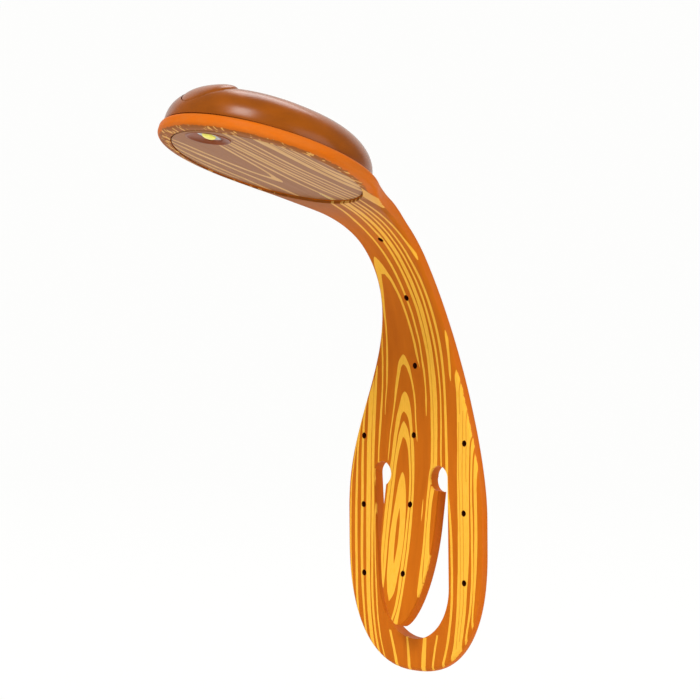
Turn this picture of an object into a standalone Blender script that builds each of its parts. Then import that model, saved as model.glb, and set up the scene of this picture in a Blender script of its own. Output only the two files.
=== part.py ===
"""Flexible clip-on reading light, at real size in metres, +Z up.

The light is one flat soft moulding with bendable wires inside: a loop that goes
behind a page, a tongue that goes in front of it, a strip that bends, and a ring
that holds the lamp head.  The origin is the middle of the page's top edge.  +X is
to the right of someone facing the printed face, and -Y is in front of the page.

The strip is drawn along a centreline of arcs.  A place on it is given by s, the
length along the front face from the page's edge, by x across, and by depth, from
the front face towards the back.
"""
import math

import bmesh
import bpy
from mathutils import Matrix, Vector

MM = 0.001
ACROSS = Vector((1.0, 0.0, 0.0))
DEEP = Vector((0.0, 1.0, 0.0))

# General clearances
GAP = 0.3 * MM
OVERRUN = 2.0 * MM

# Soft moulding
STRIP_THICKNESS = 3.2 * MM
RING_THICKNESS = 3.8 * MM
EDGE_RADIUS = 0.8 * MM
FRONT_FACE_Y = -0.73 * MM

# Rest shape of the strip: lean of the front face towards the reader, in degrees
FIRST_FLEX = 17.0 * MM
FLEX_PITCH = 11.5 * MM
FLEX_LEANS = (0.0, 6.5, 17.5, 31.0, 52.0, 69.0)
HEAD_LEAN = 70.0
HEAD_STRAIGHT = 5.5 * MM
LOOP_LEAN = 3.0
LOOP_BEND_HALF = 6.0 * MM
TONGUE_LEAN = -6.0

# Outline of the strip, half widths
CLIP_HALF = 24.3 * MM
CLIP_WIDEST = -12.6 * MM
NECK_HALF = 9.2 * MM
NECK_PLACE = 52.7 * MM
SHOULDER_START = 51.9 * MM
LOOP_ROUND_START = -20.0 * MM
LOOP_END = -53.0 * MM
LOOP_ROUNDNESS = 2.4

# Window of the loop and the tongue in it
NOTCH_RADIUS = 3.2 * MM
NOTCH_LEFT = -11.2 * MM
NOTCH_RIGHT = 9.3 * MM
TONGUE_ROOT = -2.7 * MM
WINDOW_HALF = 12.7 * MM
WINDOW_ROUND = 14.0 * MM
WINDOW_END = -44.6 * MM
TONGUE_HALF = 9.5 * MM
TONGUE_LENGTH = 38.4 * MM
TONGUE_TAPER = 27.0 * MM
TONGUE_BLUNTNESS = 0.6

# Wires and the pin holes of the mould
WIRE_RADIUS = 0.6 * MM
CHANNEL_RADIUS = WIRE_RADIUS + GAP
PIN_HOLE_RADIUS = 0.62 * MM
PIN_FIRST = 7.8 * MM
PIN_PITCH = 17.8 * MM
SIDE_WIRE_X = 18.2 * MM
SIDE_WIRE_TOP = 9.4 * MM
SIDE_PIN_FIRST = 6.7 * MM
SIDE_WIRE_TURN = -34.0 * MM
SIDE_WIRE_DROP = 14.8 * MM
TONGUE_WIRE_END = -34.0 * MM

# Head: the ring of the moulding
HEAD_PLACE = 105.3 * MM
RING_RADIUS = 28.5 * MM
RING_WIDTH = 2.9 * MM
PLATE_RADIUS = RING_RADIUS - RING_WIDTH
BEAD_DEPTH = 0.7 * MM
BEAD_LOW = 1.2 * MM
BEAD_HIGH = 2.4 * MM

# Face plate with its skirt
PLATE_PROUD = 0.7 * MM
PLATE_THICKNESS = 1.0 * MM
PLATE_EDGE = 0.4 * MM
SKIRT_WALL = 1.3 * MM
SNAP_ARM_SETBACK = 3.2 * MM
SNAP_ARM_RADIUS = PLATE_RADIUS - SNAP_ARM_SETBACK
SNAP_ARM_THICKNESS = 1.0 * MM
SNAP_ARM_WIDTH = 4.0 * MM
SNAP_ARM_TOP = 6.6 * MM
SNAP_HOOK_HEIGHT = 1.2 * MM
SNAP_HOOK_REACH = 0.7 * MM
SNAP_CATCH_HEIGHT = 0.9 * MM
SNAP_ANGLES = (35.0, 145.0, 215.0, 325.0)

# Upper housing
DOME_SHIFT = 0.75 * MM
DOME_FLAT_RADIUS = 13.4 * MM
DOME_MARGIN = 1.7 * MM
DOME_SHOULDER = RING_RADIUS - DOME_MARGIN - DOME_FLAT_RADIUS
DOME_RISE = 9.5 * MM
DOME_WALL = 1.5 * MM
POST_RADIUS = 2.2 * MM
POST_SINK = 0.2 * MM
SCREW_RADIUS = 0.6 * MM
SCREW_HEAD_RADIUS = 1.6 * MM
SCREW_HEAD_HEIGHT = 0.7 * MM
SCREW_REACH = 4.2 * MM

# Battery door
DOOR_MARGIN = 0.8 * MM
DOOR_RADIUS = DOME_FLAT_RADIUS - DOOR_MARGIN
DOOR_THICKNESS = 1.0 * MM
DOOR_EDGE = 0.3 * MM
HUB_SETBACK = 1.7 * MM
HUB_RADIUS = DOOR_RADIUS - HUB_SETBACK
LEDGE_THICKNESS = 1.2 * MM
LEDGE_WALL = 1.5 * MM
LUG_REACH = 1.4 * MM
LUG_HEIGHT = 0.9 * MM
LUG_HALF_ANGLE = 20.0
LUG_COUNT = 3
LUG_START = 30.0
NOTCH_EXTRA_ANGLE = 4.0
DOOR_TURN = 60.0
COIN_SLOT_LENGTH = 14.0 * MM
COIN_SLOT_WIDTH = 1.8 * MM
COIN_SLOT_DEPTH = 0.6 * MM

# Electronics
LED_SETBACK = 4.6 * MM
LED_PLACE = PLATE_RADIUS - LED_SETBACK
LED_SIZE = 5.0 * MM
LED_HEIGHT = 1.4 * MM
LED_POCKET_RADIUS = 2.05 * MM
LED_POCKET_DEPTH = 0.7 * MM
LENS_PROUD = 0.1 * MM
BEZEL_HALF_X = 7.4 * MM
BEZEL_HALF_Y = 3.6 * MM
BEZEL_WALL = 0.45 * MM
BEZEL_RECESS = 0.1 * MM
BEZEL_SLOPE_DEPTH = 0.9 * MM
BOARD_THICKNESS = 1.0 * MM
BOARD_SETBACK = 1.2 * MM
BOARD_RADIUS = SNAP_ARM_RADIUS - BOARD_SETBACK
BOARD_FLAT_SETBACK = 3.7 * MM
BOARD_FLAT = BOARD_RADIUS - BOARD_FLAT_SETBACK
BOARD_TAB_HALF = 7.8 * MM
BOARD_TAB_SETBACK = 1.0 * MM
BOARD_TAB_RADIUS = PLATE_RADIUS - BOARD_TAB_SETBACK
POST_SIDE_SETBACK = 5.7 * MM
POST_SIDE_Y = -8.6 * MM
POST_END_SETBACK = 2.5 * MM
POST_PLACES = (
    (POST_SIDE_SETBACK - BOARD_RADIUS, POST_SIDE_Y),
    (BOARD_RADIUS - POST_SIDE_SETBACK, POST_SIDE_Y),
    (0.0, BOARD_FLAT - POST_END_SETBACK),
)
RESISTOR_SIZE = (3.2 * MM, 1.6 * MM, 0.6 * MM)
RESISTOR_PLACES = ((-13.0 * MM, 5.0 * MM), (-13.0 * MM, 8.4 * MM))
CELL_RADIUS = 10.0 * MM
CELL_HEIGHT = 2.5 * MM
CELL_EDGE = 0.35 * MM
CRADLE_WALL = 1.2 * MM
CRADLE_HEIGHT = 5.6 * MM
CONTACT_THICKNESS = 0.2 * MM
NEGATIVE_RADIUS = 4.5 * MM
POSITIVE_WIDTH = 4.0 * MM
POSITIVE_FOOT = 3.0 * MM
POSITIVE_FINGER = 5.6 * MM
SWITCH_SETBACK = 4.4 * MM
SWITCH_PLACE = LED_PLACE - SWITCH_SETBACK
SWITCH_SIZE = 6.0 * MM
SWITCH_HEIGHT = 3.4 * MM
SWITCH_BORE_DEPTH = 1.6 * MM
PLUNGER_RADIUS = 1.7 * MM
PLUNGER_LENGTH = 3.3 * MM
FERRULE_RADIUS = 1.3 * MM
FERRULE_LENGTH = 4.6 * MM

# Push button
BUTTON_SETBACK = 1.2 * MM
BUTTON_PLACE = LED_PLACE - BUTTON_SETBACK
BUTTON_HALF_X = 6.4 * MM
BUTTON_HALF_Y = 4.9 * MM
BUTTON_PROUD = 1.2 * MM
BUTTON_TRAVEL = 0.6 * MM
BUTTON_LOW = 7.0 * MM
BUTTON_FLANGE = 1.0 * MM
BUTTON_FLANGE_SHIFT = 0.95 * MM
BUTTON_FLANGE_THICKNESS = 0.8 * MM
BUTTON_STEM_RADIUS = 1.5 * MM

# Fineness of round shapes
BIG_SIDES = 48
SMALL_SIDES = 20
TINY_SIDES = 8

# Levels in the head, measured up from the front plane of the ring
PLATE_FRONT = -PLATE_PROUD
PLATE_BACK = PLATE_FRONT + PLATE_THICKNESS
SKIRT_TOP = RING_THICKNESS
DOME_BASE = RING_THICKNESS + GAP
DOME_TOP = DOME_BASE + DOME_RISE
LED_FRONT = 0.0
BOARD_FRONT = LED_FRONT + LED_HEIGHT + GAP
BOARD_BACK = BOARD_FRONT + BOARD_THICKNESS
ON_BOARD = BOARD_BACK + GAP
LOWER_CELL_BASE = ON_BOARD + CONTACT_THICKNESS + GAP
UPPER_CELL_BASE = LOWER_CELL_BASE + CELL_HEIGHT + GAP
FINGER_BASE = UPPER_CELL_BASE + CELL_HEIGHT + GAP
DOOR_BASE = DOME_TOP - DOOR_THICKNESS
LEDGE_TOP = DOOR_BASE - GAP
LEDGE_BASE = LEDGE_TOP - LEDGE_THICKNESS
LUG_TOP = LEDGE_BASE - GAP
LUG_BASE = LUG_TOP - LUG_HEIGHT
PLUNGER_BASE = ON_BOARD + SWITCH_HEIGHT - SWITCH_BORE_DEPTH + BUTTON_TRAVEL + GAP
PLUNGER_TOP = PLUNGER_BASE + PLUNGER_LENGTH
WIRE_LEVEL = RING_THICKNESS / 2


def clear_scene():
    """Remove whatever the file held before."""
    for item in list(bpy.data.objects):
        bpy.data.objects.remove(item, do_unlink=True)


def make_material(name, colour, roughness, metallic=0.0):
    """One Principled material."""
    material = bpy.data.materials.new(name)
    material.use_nodes = True
    shader = material.node_tree.nodes["Principled BSDF"]
    shader.inputs["Base Color"].default_value = (*colour, 1.0)
    shader.inputs["Roughness"].default_value = roughness
    shader.inputs["Metallic"].default_value = metallic
    return material


def flex_place(index):
    """Length along the strip of flex line 0 to 5."""
    return FIRST_FLEX + index * FLEX_PITCH


def lean_stations():
    """Places on the strip and the lean there; the lean runs evenly between them."""
    stations = [(LOOP_END, LOOP_LEAN), (-LOOP_BEND_HALF, LOOP_LEAN), (LOOP_BEND_HALF, 0.0)]
    for index, lean in enumerate(FLEX_LEANS):
        stations.append((flex_place(index), lean))
    stations.append((flex_place(len(FLEX_LEANS) - 1) + HEAD_STRAIGHT, HEAD_LEAN))
    stations.append((HEAD_PLACE + RING_RADIUS, HEAD_LEAN))
    return [(place, math.radians(lean)) for place, lean in stations]


def lean_at(s):
    """Lean of the front face at s, in radians."""
    stations = lean_stations()
    if s <= stations[0][0]:
        return stations[0][1]
    for (low, lean_low), (high, lean_high) in zip(stations, stations[1:]):
        if s <= high:
            return lean_low + (lean_high - lean_low) * (s - low) / (high - low)
    return stations[-1][1]


def run_between(start, end):
    """Step in y and z along the front face from start to end, arc by arc."""
    if end < start:
        back_y, back_z = run_between(end, start)
        return -back_y, -back_z
    marks = [start] + [place for place, lean in lean_stations() if start < place < end] + [end]
    step_y = 0.0
    step_z = 0.0
    for low, high in zip(marks, marks[1:]):
        lean_low = lean_at(low)
        lean_high = lean_at(high)
        turn = lean_high - lean_low
        length = high - low
        if abs(turn) < 1e-9:
            step_y -= length * math.sin(lean_low)
            step_z += length * math.cos(lean_low)
        else:
            step_y += length * (math.cos(lean_high) - math.cos(lean_low)) / turn
            step_z += length * (math.sin(lean_high) - math.sin(lean_low)) / turn
    return step_y, step_z


def strip_point(x, s, depth):
    """World place of a point of the strip."""
    step_y, step_z = run_between(0.0, s)
    lean = lean_at(s)
    return Vector((x, FRONT_FACE_Y + step_y + depth * math.cos(lean), step_z + depth * math.sin(lean)))


def tongue_point(x, s, depth):
    """World place of a point of the tongue, which is flat and leans the other way."""
    pivot = strip_point(0.0, TONGUE_ROOT, STRIP_THICKNESS / 2)
    lean = math.radians(TONGUE_LEAN)
    along = Vector((0.0, -math.sin(lean), math.cos(lean)))
    inward = Vector((0.0, math.cos(lean), math.sin(lean)))
    place = pivot + along * (s - TONGUE_ROOT) + inward * (depth - STRIP_THICKNESS / 2)
    return Vector((x, place.y, place.z))


def flex_point(index):
    """World place of a flex line, in the middle of the thickness."""
    return strip_point(0.0, flex_place(index), thickness_at(flex_place(index)) / 2)


def thickness_at(s):
    """The strip thickens a little where it becomes the ring of the head."""
    start = flex_place(len(FLEX_LEANS) - 2)
    end = flex_place(len(FLEX_LEANS) - 1)
    share = min(max((s - start) / (end - start), 0.0), 1.0)
    return STRIP_THICKNESS + (RING_THICKNESS - STRIP_THICKNESS) * share * share * (3 - 2 * share)


def shoulder_radius():
    """Radius of the hollow curve that runs from the neck into the round head."""
    reach = HEAD_PLACE - SHOULDER_START
    return (reach ** 2 + NECK_HALF ** 2 - RING_RADIUS ** 2) / (2 * (RING_RADIUS - NECK_HALF))


def shoulder_end():
    """Place where the hollow curve touches the ring's circle."""
    reach = HEAD_PLACE - SHOULDER_START
    return HEAD_PLACE - reach * RING_RADIUS / (RING_RADIUS + shoulder_radius())


def half_width(s):
    """Half width of the strip between the loop and the ring's circle."""
    share = min(max((NECK_PLACE - s) / (NECK_PLACE - CLIP_WIDEST), 0.0), 1.0)
    width = NECK_HALF + (CLIP_HALF - NECK_HALF) * (1 - math.cos(math.pi * share)) / 2
    if s > SHOULDER_START:
        radius = shoulder_radius()
        width += radius - math.sqrt(radius ** 2 - (s - SHOULDER_START) ** 2)
    return width


def spread(low, high, count):
    """Evenly spaced values from low to high."""
    return [low + (high - low) * index / (count - 1) for index in range(count)]


def outline_rows(points):
    """Rows of (s, half width, normal across, normal along) from a half outline."""
    rows = []
    for index, (s, width) in enumerate(points):
        before = points[max(index - 1, 0)]
        after = points[min(index + 1, len(points) - 1)]
        run = Vector((after[1] - before[1], after[0] - before[0]))
        if width < 1e-9:
            rows.append((s, 0.0, 0.0, -1.0 if index == 0 else 1.0))
            continue
        run.normalize()
        rows.append((s, width, run.y, -run.x))
    return rows


def body_rows(rows, thickness):
    """Full-thickness rows for the slab builder."""
    return [(s, width, across, along, 0.0, thickness(s)) for s, width, across, along in rows]


def nose_rows(place, width, thickness):
    """Rows that round a slab's upper end about the flex line at place."""
    half = thickness / 2
    rows = []
    for angle in spread(90.0, 0.0, 5)[1:]:
        height = half * math.sin(math.radians(angle))
        reach = place + half * math.cos(math.radians(angle))
        rows.append((reach, width(reach), 1.0, 0.0, half - height, half + height))
    return rows


def socket_rows(place, width, thickness):
    """Rows of the hollow end that goes round such a nose, from its floor to its lips."""
    half = thickness / 2
    radius = half + GAP
    widest = math.degrees(math.asin(half / radius))
    rows = []
    for angle in spread(0.0, widest, 5):
        height = radius * math.sin(math.radians(angle))
        reach = place + radius * math.cos(math.radians(angle))
        rows.append((reach, width(reach), 1.0, 0.0, half - height, half + height))
    return rows


def slab_mesh(name, rows, place_point, pivot):
    """A slab with rounded long edges, from rows across it."""
    mesh = bmesh.new()
    rings = []
    for s, width, across, along, front, back in rows:
        radius = min(EDGE_RADIUS, 0.45 * (back - front))
        corner = []
        for angle in (0.0, 45.0, 90.0):
            inset = radius * (1 - math.sin(math.radians(angle)))
            rise = radius * (1 - math.cos(math.radians(angle)))
            corner.append((inset, rise))
        side = [(inset, front + rise) for inset, rise in corner]
        side += [(inset, back - rise) for inset, rise in reversed(corner)]
        ring = []
        for inset, depth in side:
            place = place_point(max(width - inset * across, 0.0), s - inset * along, depth)
            ring.append(mesh.verts.new(place - pivot))
        for inset, depth in reversed(side):
            place = place_point(-max(width - inset * across, 0.0), s - inset * along, depth)
            ring.append(mesh.verts.new(place - pivot))
        rings.append(ring)
    for low, high in zip(rings, rings[1:]):
        count = len(low)
        for index in range(count):
            other = (index + 1) % count
            mesh.faces.new((low[index], low[other], high[other], high[index]))
    bmesh.ops.remove_doubles(mesh, verts=mesh.verts[:], dist=WIRE_RADIUS / 1000)
    bmesh.ops.dissolve_degenerate(mesh, edges=mesh.edges[:], dist=WIRE_RADIUS / 1000)
    bmesh.ops.recalc_face_normals(mesh, faces=mesh.faces[:])
    return finish_mesh(mesh, name)


def finish_mesh(mesh, name):
    """Turn a bmesh into mesh data."""
    data = bpy.data.meshes.new(name)
    mesh.to_mesh(data)
    mesh.free()
    return data


def tube_mesh(name, points, radius, sides, pivot, reference):
    """A closed round bar through a list of points; no run of it lies along the reference."""
    mesh = bmesh.new()
    sides = round(sides)
    rings = []
    for index, point in enumerate(points):
        before = points[max(index - 1, 0)]
        after = points[min(index + 1, len(points) - 1)]
        run = (after - before).normalized()
        first = run.cross(reference).normalized()
        second = run.cross(first)
        ring = []
        for step in range(sides):
            angle = 2 * math.pi * (step + 0.5) / sides
            offset = first * math.cos(angle) + second * math.sin(angle)
            ring.append(mesh.verts.new(point + offset * radius - pivot))
        rings.append(ring)
    for low, high in zip(rings, rings[1:]):
        for step in range(sides):
            other = (step + 1) % sides
            mesh.faces.new((low[step], low[other], high[other], high[step]))
    mesh.faces.new(rings[0])
    mesh.faces.new(rings[-1])
    bmesh.ops.recalc_face_normals(mesh, faces=mesh.faces[:])
    return finish_mesh(mesh, name)


def prism_mesh(name, outline, low, high, top_outline=None, upright=False):
    """An outline pulled from one level to another; upright outlines are in x and z."""
    mesh = bmesh.new()

    def add_ring(points, level):
        if upright:
            return [mesh.verts.new((x, level, z)) for x, z in points]
        return [mesh.verts.new((x, y, level)) for x, y in points]

    base = add_ring(outline, low)
    top = add_ring(top_outline or outline, high)
    count = len(outline)
    for index in range(count):
        other = (index + 1) % count
        mesh.faces.new((base[index], base[other], top[other], top[index]))
    mesh.faces.new(base)
    mesh.faces.new(top)
    bmesh.ops.recalc_face_normals(mesh, faces=mesh.faces[:])
    return finish_mesh(mesh, name)


def turned_mesh(name, profile, sides, shift_y=0.0):
    """A closed profile of (radius, level) spun round the head's axis."""
    mesh = bmesh.new()
    sides = round(sides)
    rings = []
    for radius, level in profile:
        if radius < 1e-9:
            rings.append([mesh.verts.new((0.0, shift_y, level))] * sides)
            continue
        ring = []
        for step in range(sides):
            angle = 2 * math.pi * step / sides
            ring.append(mesh.verts.new((radius * math.cos(angle), shift_y + radius * math.sin(angle), level)))
        rings.append(ring)
    closed = profile[0][0] > 1e-9 or profile[-1][0] > 1e-9
    pairs = list(zip(rings, rings[1:]))
    if closed:
        pairs.append((rings[-1], rings[0]))
    for low, high in pairs:
        for step in range(sides):
            other = (step + 1) % sides
            corners = []
            for vertex in (low[step], low[other], high[other], high[step]):
                if vertex not in corners:
                    corners.append(vertex)
            if len(corners) > 2:
                mesh.faces.new(corners)
    bmesh.ops.recalc_face_normals(mesh, faces=mesh.faces[:])
    return finish_mesh(mesh, name)


def oval(centre_x, centre_y, half_x, half_y, sides):
    """Points of an oval."""
    sides = round(sides)
    points = []
    for step in range(sides):
        angle = 2 * math.pi * step / sides
        points.append((centre_x + half_x * math.cos(angle), centre_y + half_y * math.sin(angle)))
    return points


def rectangle(centre_x, centre_y, size_x, size_y):
    """Corners of a rectangle."""
    half_x = size_x / 2
    half_y = size_y / 2
    return [
        (centre_x - half_x, centre_y - half_y),
        (centre_x + half_x, centre_y - half_y),
        (centre_x + half_x, centre_y + half_y),
        (centre_x - half_x, centre_y + half_y),
    ]


def turned_rectangle(radius_low, radius_high, width, degrees):
    """A rectangle that stands across a radius of the head."""
    angle = math.radians(degrees)
    out = Vector((math.cos(angle), math.sin(angle)))
    side = Vector((-out.y, out.x)) * (width / 2)
    corners = [out * radius_low - side, out * radius_high - side, out * radius_high + side, out * radius_low + side]
    return [(corner.x, corner.y) for corner in corners]


def place_object(name, data, material, parent, smooth=True):
    """Put mesh data in the scene as a named object under its parent."""
    item = bpy.data.objects.new(name, data)
    bpy.context.scene.collection.objects.link(item)
    item.parent = parent
    if material is not None:
        data.materials.append(material)
    if smooth:
        data.shade_smooth()
        data.set_sharp_from_angle(angle=math.radians(35.0))
    return item


def make_tool(name, data, parent):
    """A cutter or an addition, which isn't a piece of its own."""
    tool = place_object(name, data, None, parent, smooth=False)
    tool.hide_render = True
    tool.display_type = "WIRE"
    return tool


def combine(item, tool, operation):
    """Add a Boolean with another object."""
    modifier = item.modifiers.new(tool.name, "BOOLEAN")
    modifier.operation = operation
    modifier.solver = "EXACT"
    modifier.object = tool
    return item


def make_axis(name, place, parent=None, turn=0.0):
    """An empty that marks a joint or a frame."""
    axis = bpy.data.objects.new(name, None)
    bpy.context.scene.collection.objects.link(axis)
    axis.parent = parent
    axis.location = place
    axis.rotation_euler = (turn, 0.0, 0.0)
    return axis


def strip_path(low, high, step, place_point, depth):
    """Points along the middle of a slab."""
    count = max(int(math.ceil((high - low) / step)) + 1, 2)
    return [place_point(0.0, s, depth(s)) for s in spread(low, high, count)]


def middle(s):
    """Depth of the wire in the strip."""
    return thickness_at(s) / 2


def cut_channel(item, label, low, high, place_point, depth, pivot, parent):
    """Cut the wire's channel along a slab."""
    path = strip_path(low, high, FLEX_PITCH / 4, place_point, depth)
    tool = make_tool(label + "_channel", tube_mesh(label, path, CHANNEL_RADIUS, TINY_SIDES, pivot, ACROSS), parent)
    combine(item, tool, "DIFFERENCE")


def cut_pin_hole(item, label, x, s, place_point, depth, pivot, parent):
    """Cut one pin hole from the front face to the wire's channel."""
    path = [place_point(x, s, -OVERRUN), place_point(x, s, depth)]
    tool = make_tool(label, tube_mesh(label, path, PIN_HOLE_RADIUS, TINY_SIDES, pivot, ACROSS), parent)
    combine(item, tool, "DIFFERENCE")


def add_wire(name, low, high, place_point, depth, material, pivot, parent):
    """A length of the bendable wire."""
    path = strip_path(low, high, FLEX_PITCH / 4, place_point, depth)
    place_object(name, tube_mesh(name, path, WIRE_RADIUS, TINY_SIDES, pivot, ACROSS), material, parent)


def loop_outline():
    """Half outline of the loop and yoke, from the loop's lowest point up to the first flex line."""
    points = []
    height = LOOP_ROUND_START - LOOP_END
    for angle in spread(-90.0, 0.0, 15):
        share = abs(math.sin(math.radians(angle)))
        width = (1 - share ** LOOP_ROUNDNESS) ** (1 / LOOP_ROUNDNESS) if share < 1 else 0.0
        points.append((LOOP_ROUND_START - height * share, CLIP_HALF * width))
    for s in spread(LOOP_ROUND_START, FIRST_FLEX, 12)[1:]:
        points.append((s, half_width(max(s, CLIP_WIDEST))))
    return points


def window_half(notch, side):
    """One side of the window, from its notch down to its lowest point."""
    points = []
    for angle in spread(180.0, 0.0, 9):
        points.append((
            notch + side * NOTCH_RADIUS * math.cos(math.radians(angle)),
            TONGUE_ROOT + NOTCH_RADIUS * math.sin(math.radians(angle)),
        ))
    turn = WINDOW_END + WINDOW_ROUND
    for angle in spread(0.0, 90.0, 9):
        points.append((
            side * WINDOW_HALF * math.cos(math.radians(angle)),
            turn - WINDOW_ROUND * math.sin(math.radians(angle)),
        ))
    return points


def window_outline():
    """Outline of the loop's window with the two round notches beside the tongue's root."""
    return window_half(NOTCH_RIGHT, 1) + window_half(NOTCH_LEFT, -1)[-2::-1]


def window_mesh():
    """The window's outline pulled from front to back."""
    low = FRONT_FACE_Y - OVERRUN
    high = strip_point(0.0, LOOP_END, STRIP_THICKNESS).y + OVERRUN
    return prism_mesh("window", window_outline(), low, high, upright=True)


def side_wire_path():
    """The loop's wire: up both legs and round the end."""
    points = [strip_point(SIDE_WIRE_X, s, STRIP_THICKNESS / 2)
              for s in spread(SIDE_WIRE_TOP, SIDE_WIRE_TURN, 10)]
    for angle in spread(0.0, 180.0, 19)[1:-1]:
        x = SIDE_WIRE_X * math.cos(math.radians(angle))
        s = SIDE_WIRE_TURN - SIDE_WIRE_DROP * math.sin(math.radians(angle))
        points.append(strip_point(x, s, STRIP_THICKNESS / 2))
    points += [strip_point(-SIDE_WIRE_X, s, STRIP_THICKNESS / 2)
               for s in spread(SIDE_WIRE_TURN, SIDE_WIRE_TOP, 10)]
    return points


def build_clip_frame(skin, metal):
    """The loop, its window and the yoke above the page."""
    origin = make_axis("page_edge", (0.0, 0.0, 0.0))
    pivot = Vector((0.0, 0.0, 0.0))
    rows = body_rows(outline_rows(loop_outline()), thickness_at)
    rows += nose_rows(FIRST_FLEX, half_width, STRIP_THICKNESS)
    frame = place_object("clip_frame", slab_mesh("clip_frame", rows, strip_point, pivot), skin, origin)
    combine(frame, make_tool("window", window_mesh(), origin), "DIFFERENCE")
    root = strip_point(0.0, TONGUE_ROOT, STRIP_THICKNESS / 2)
    ends = [root + ACROSS * NOTCH_LEFT, root + ACROSS * NOTCH_RIGHT]
    radius = STRIP_THICKNESS / 2 + GAP
    socket = tube_mesh("root_socket", ends, radius, SMALL_SIDES, pivot, DEEP)
    combine(frame, make_tool("root_socket", socket, origin), "DIFFERENCE")
    top = FIRST_FLEX + STRIP_THICKNESS
    cut_channel(frame, "yoke", TONGUE_ROOT, top, strip_point, middle, pivot, origin)
    cut_pin_hole(frame, "yoke_pin_hole", 0.0, PIN_FIRST, strip_point, STRIP_THICKNESS / 2, pivot, origin)
    wire = side_wire_path()
    channel = [wire[0] + (wire[0] - wire[1]).normalized() * GAP] + wire[1:-1]
    channel.append(wire[-1] + (wire[-1] - wire[-2]).normalized() * GAP)
    groove = tube_mesh("loop_channel", channel, CHANNEL_RADIUS, TINY_SIDES, pivot, DEEP)
    combine(frame, make_tool("loop_channel", groove, origin), "DIFFERENCE")
    for side in (-1, 1):
        for step in range(3):
            s = SIDE_PIN_FIRST - step * PIN_PITCH
            label = "leg_pin_hole_%s_%d" % ("left" if side < 0 else "right", step)
            cut_pin_hole(frame, label, side * SIDE_WIRE_X, s, strip_point, STRIP_THICKNESS / 2, pivot, origin)
    loop = tube_mesh("loop_wire", wire, WIRE_RADIUS, TINY_SIDES, pivot, DEEP)
    place_object("loop_wire", loop, metal, origin)
    low = TONGUE_ROOT + STRIP_THICKNESS / 2 + GAP
    add_wire("core_wire_yoke", low, FIRST_FLEX, strip_point, middle, metal, pivot, origin)


def tongue_outline():
    """Half outline of the tongue, from its tip up to its root."""
    tip = TONGUE_ROOT - TONGUE_LENGTH
    points = []
    for angle in spread(0.0, 90.0, 11):
        share = math.cos(math.radians(angle))
        width = TONGUE_HALF * max(1 - share * share, 0.0) ** TONGUE_BLUNTNESS
        points.append((tip + TONGUE_TAPER * (1 - share), width))
    for s in spread(points[-1][0], TONGUE_ROOT, 3)[1:]:
        points.append((s, TONGUE_HALF))
    return points


def build_tongue(skin, metal):
    """The tongue that goes in front of the page, hinged by its soft root."""
    pivot = tongue_point(0.0, TONGUE_ROOT, STRIP_THICKNESS / 2)
    root = make_axis("tongue_root", pivot)
    rows = body_rows(outline_rows(tongue_outline()), tongue_thickness)
    rows += nose_rows(TONGUE_ROOT, tongue_root_half, STRIP_THICKNESS)
    data = slab_mesh("clip_tongue", rows, tongue_point, pivot)
    tongue = place_object("clip_tongue", data, skin, root)
    for label, x in (("left_notch", NOTCH_LEFT), ("right_notch", NOTCH_RIGHT)):
        path = [tongue_point(x, TONGUE_ROOT, -OVERRUN), tongue_point(x, TONGUE_ROOT, STRIP_THICKNESS + OVERRUN)]
        notch = tube_mesh(label, path, NOTCH_RADIUS, SMALL_SIDES, pivot, ACROSS)
        combine(tongue, make_tool(label, notch, root), "DIFFERENCE")
    top = TONGUE_ROOT + STRIP_THICKNESS
    cut_channel(tongue, "tongue", TONGUE_WIRE_END - GAP, top, tongue_point, tongue_middle, pivot, root)
    for step in (1, 2):
        s = PIN_FIRST - step * PIN_PITCH
        label = "tongue_pin_hole_%d" % step
        cut_pin_hole(tongue, label, 0.0, s, tongue_point, STRIP_THICKNESS / 2, pivot, root)
    high = TONGUE_ROOT + STRIP_THICKNESS / 2 - GAP
    add_wire("core_wire_tongue", TONGUE_WIRE_END, high, tongue_point, tongue_middle, metal, pivot, root)


def tongue_thickness(s):
    """The tongue is as thick as the strip all along."""
    return STRIP_THICKNESS


def tongue_middle(s):
    """Depth of the wire in the tongue."""
    return STRIP_THICKNESS / 2


def tongue_root_half(s):
    """Half width of the tongue's rounded root, before the notches are cut."""
    return TONGUE_HALF


def pin_places(low, high):
    """Pin holes on the centreline between two places."""
    places = []
    step = 0
    while PIN_FIRST + step * PIN_PITCH < high:
        if PIN_FIRST + step * PIN_PITCH > low:
            places.append(PIN_FIRST + step * PIN_PITCH)
        step += 1
    return places


def build_arm_segment(index, skin, metal, parent):
    """One stretch of the bending strip, from flex line index - 1 to flex line index."""
    low = flex_place(index - 1)
    high = flex_place(index)
    pivot = flex_point(index - 1)
    axis = make_axis("flex_axis_%d" % index, pivot)
    thickness = thickness_at(low)
    lip = socket_rows(low, half_width, thickness)
    start = lip[-1][0]
    points = [(s, half_width(s)) for s in spread(start, high, 6)[1:]]
    rows = lip + body_rows(outline_rows(points), thickness_at)
    rows += nose_rows(high, half_width, thickness_at(high))
    name = "arm_segment_%d" % index
    segment = place_object(name, slab_mesh(name, rows, strip_point, pivot), skin, axis)
    reach = STRIP_THICKNESS
    cut_channel(segment, name, low, high + reach, strip_point, middle, pivot, axis)
    for s in pin_places(low, high):
        cut_pin_hole(segment, name + "_pin_hole", 0.0, s, strip_point, middle(s), pivot, axis)
    wire_low = low + thickness / 2 + 2 * GAP
    wire_high = high + thickness_at(high) / 2 - GAP
    add_wire("core_wire_%d" % index, wire_low, wire_high, strip_point, middle, metal, pivot, axis)


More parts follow.
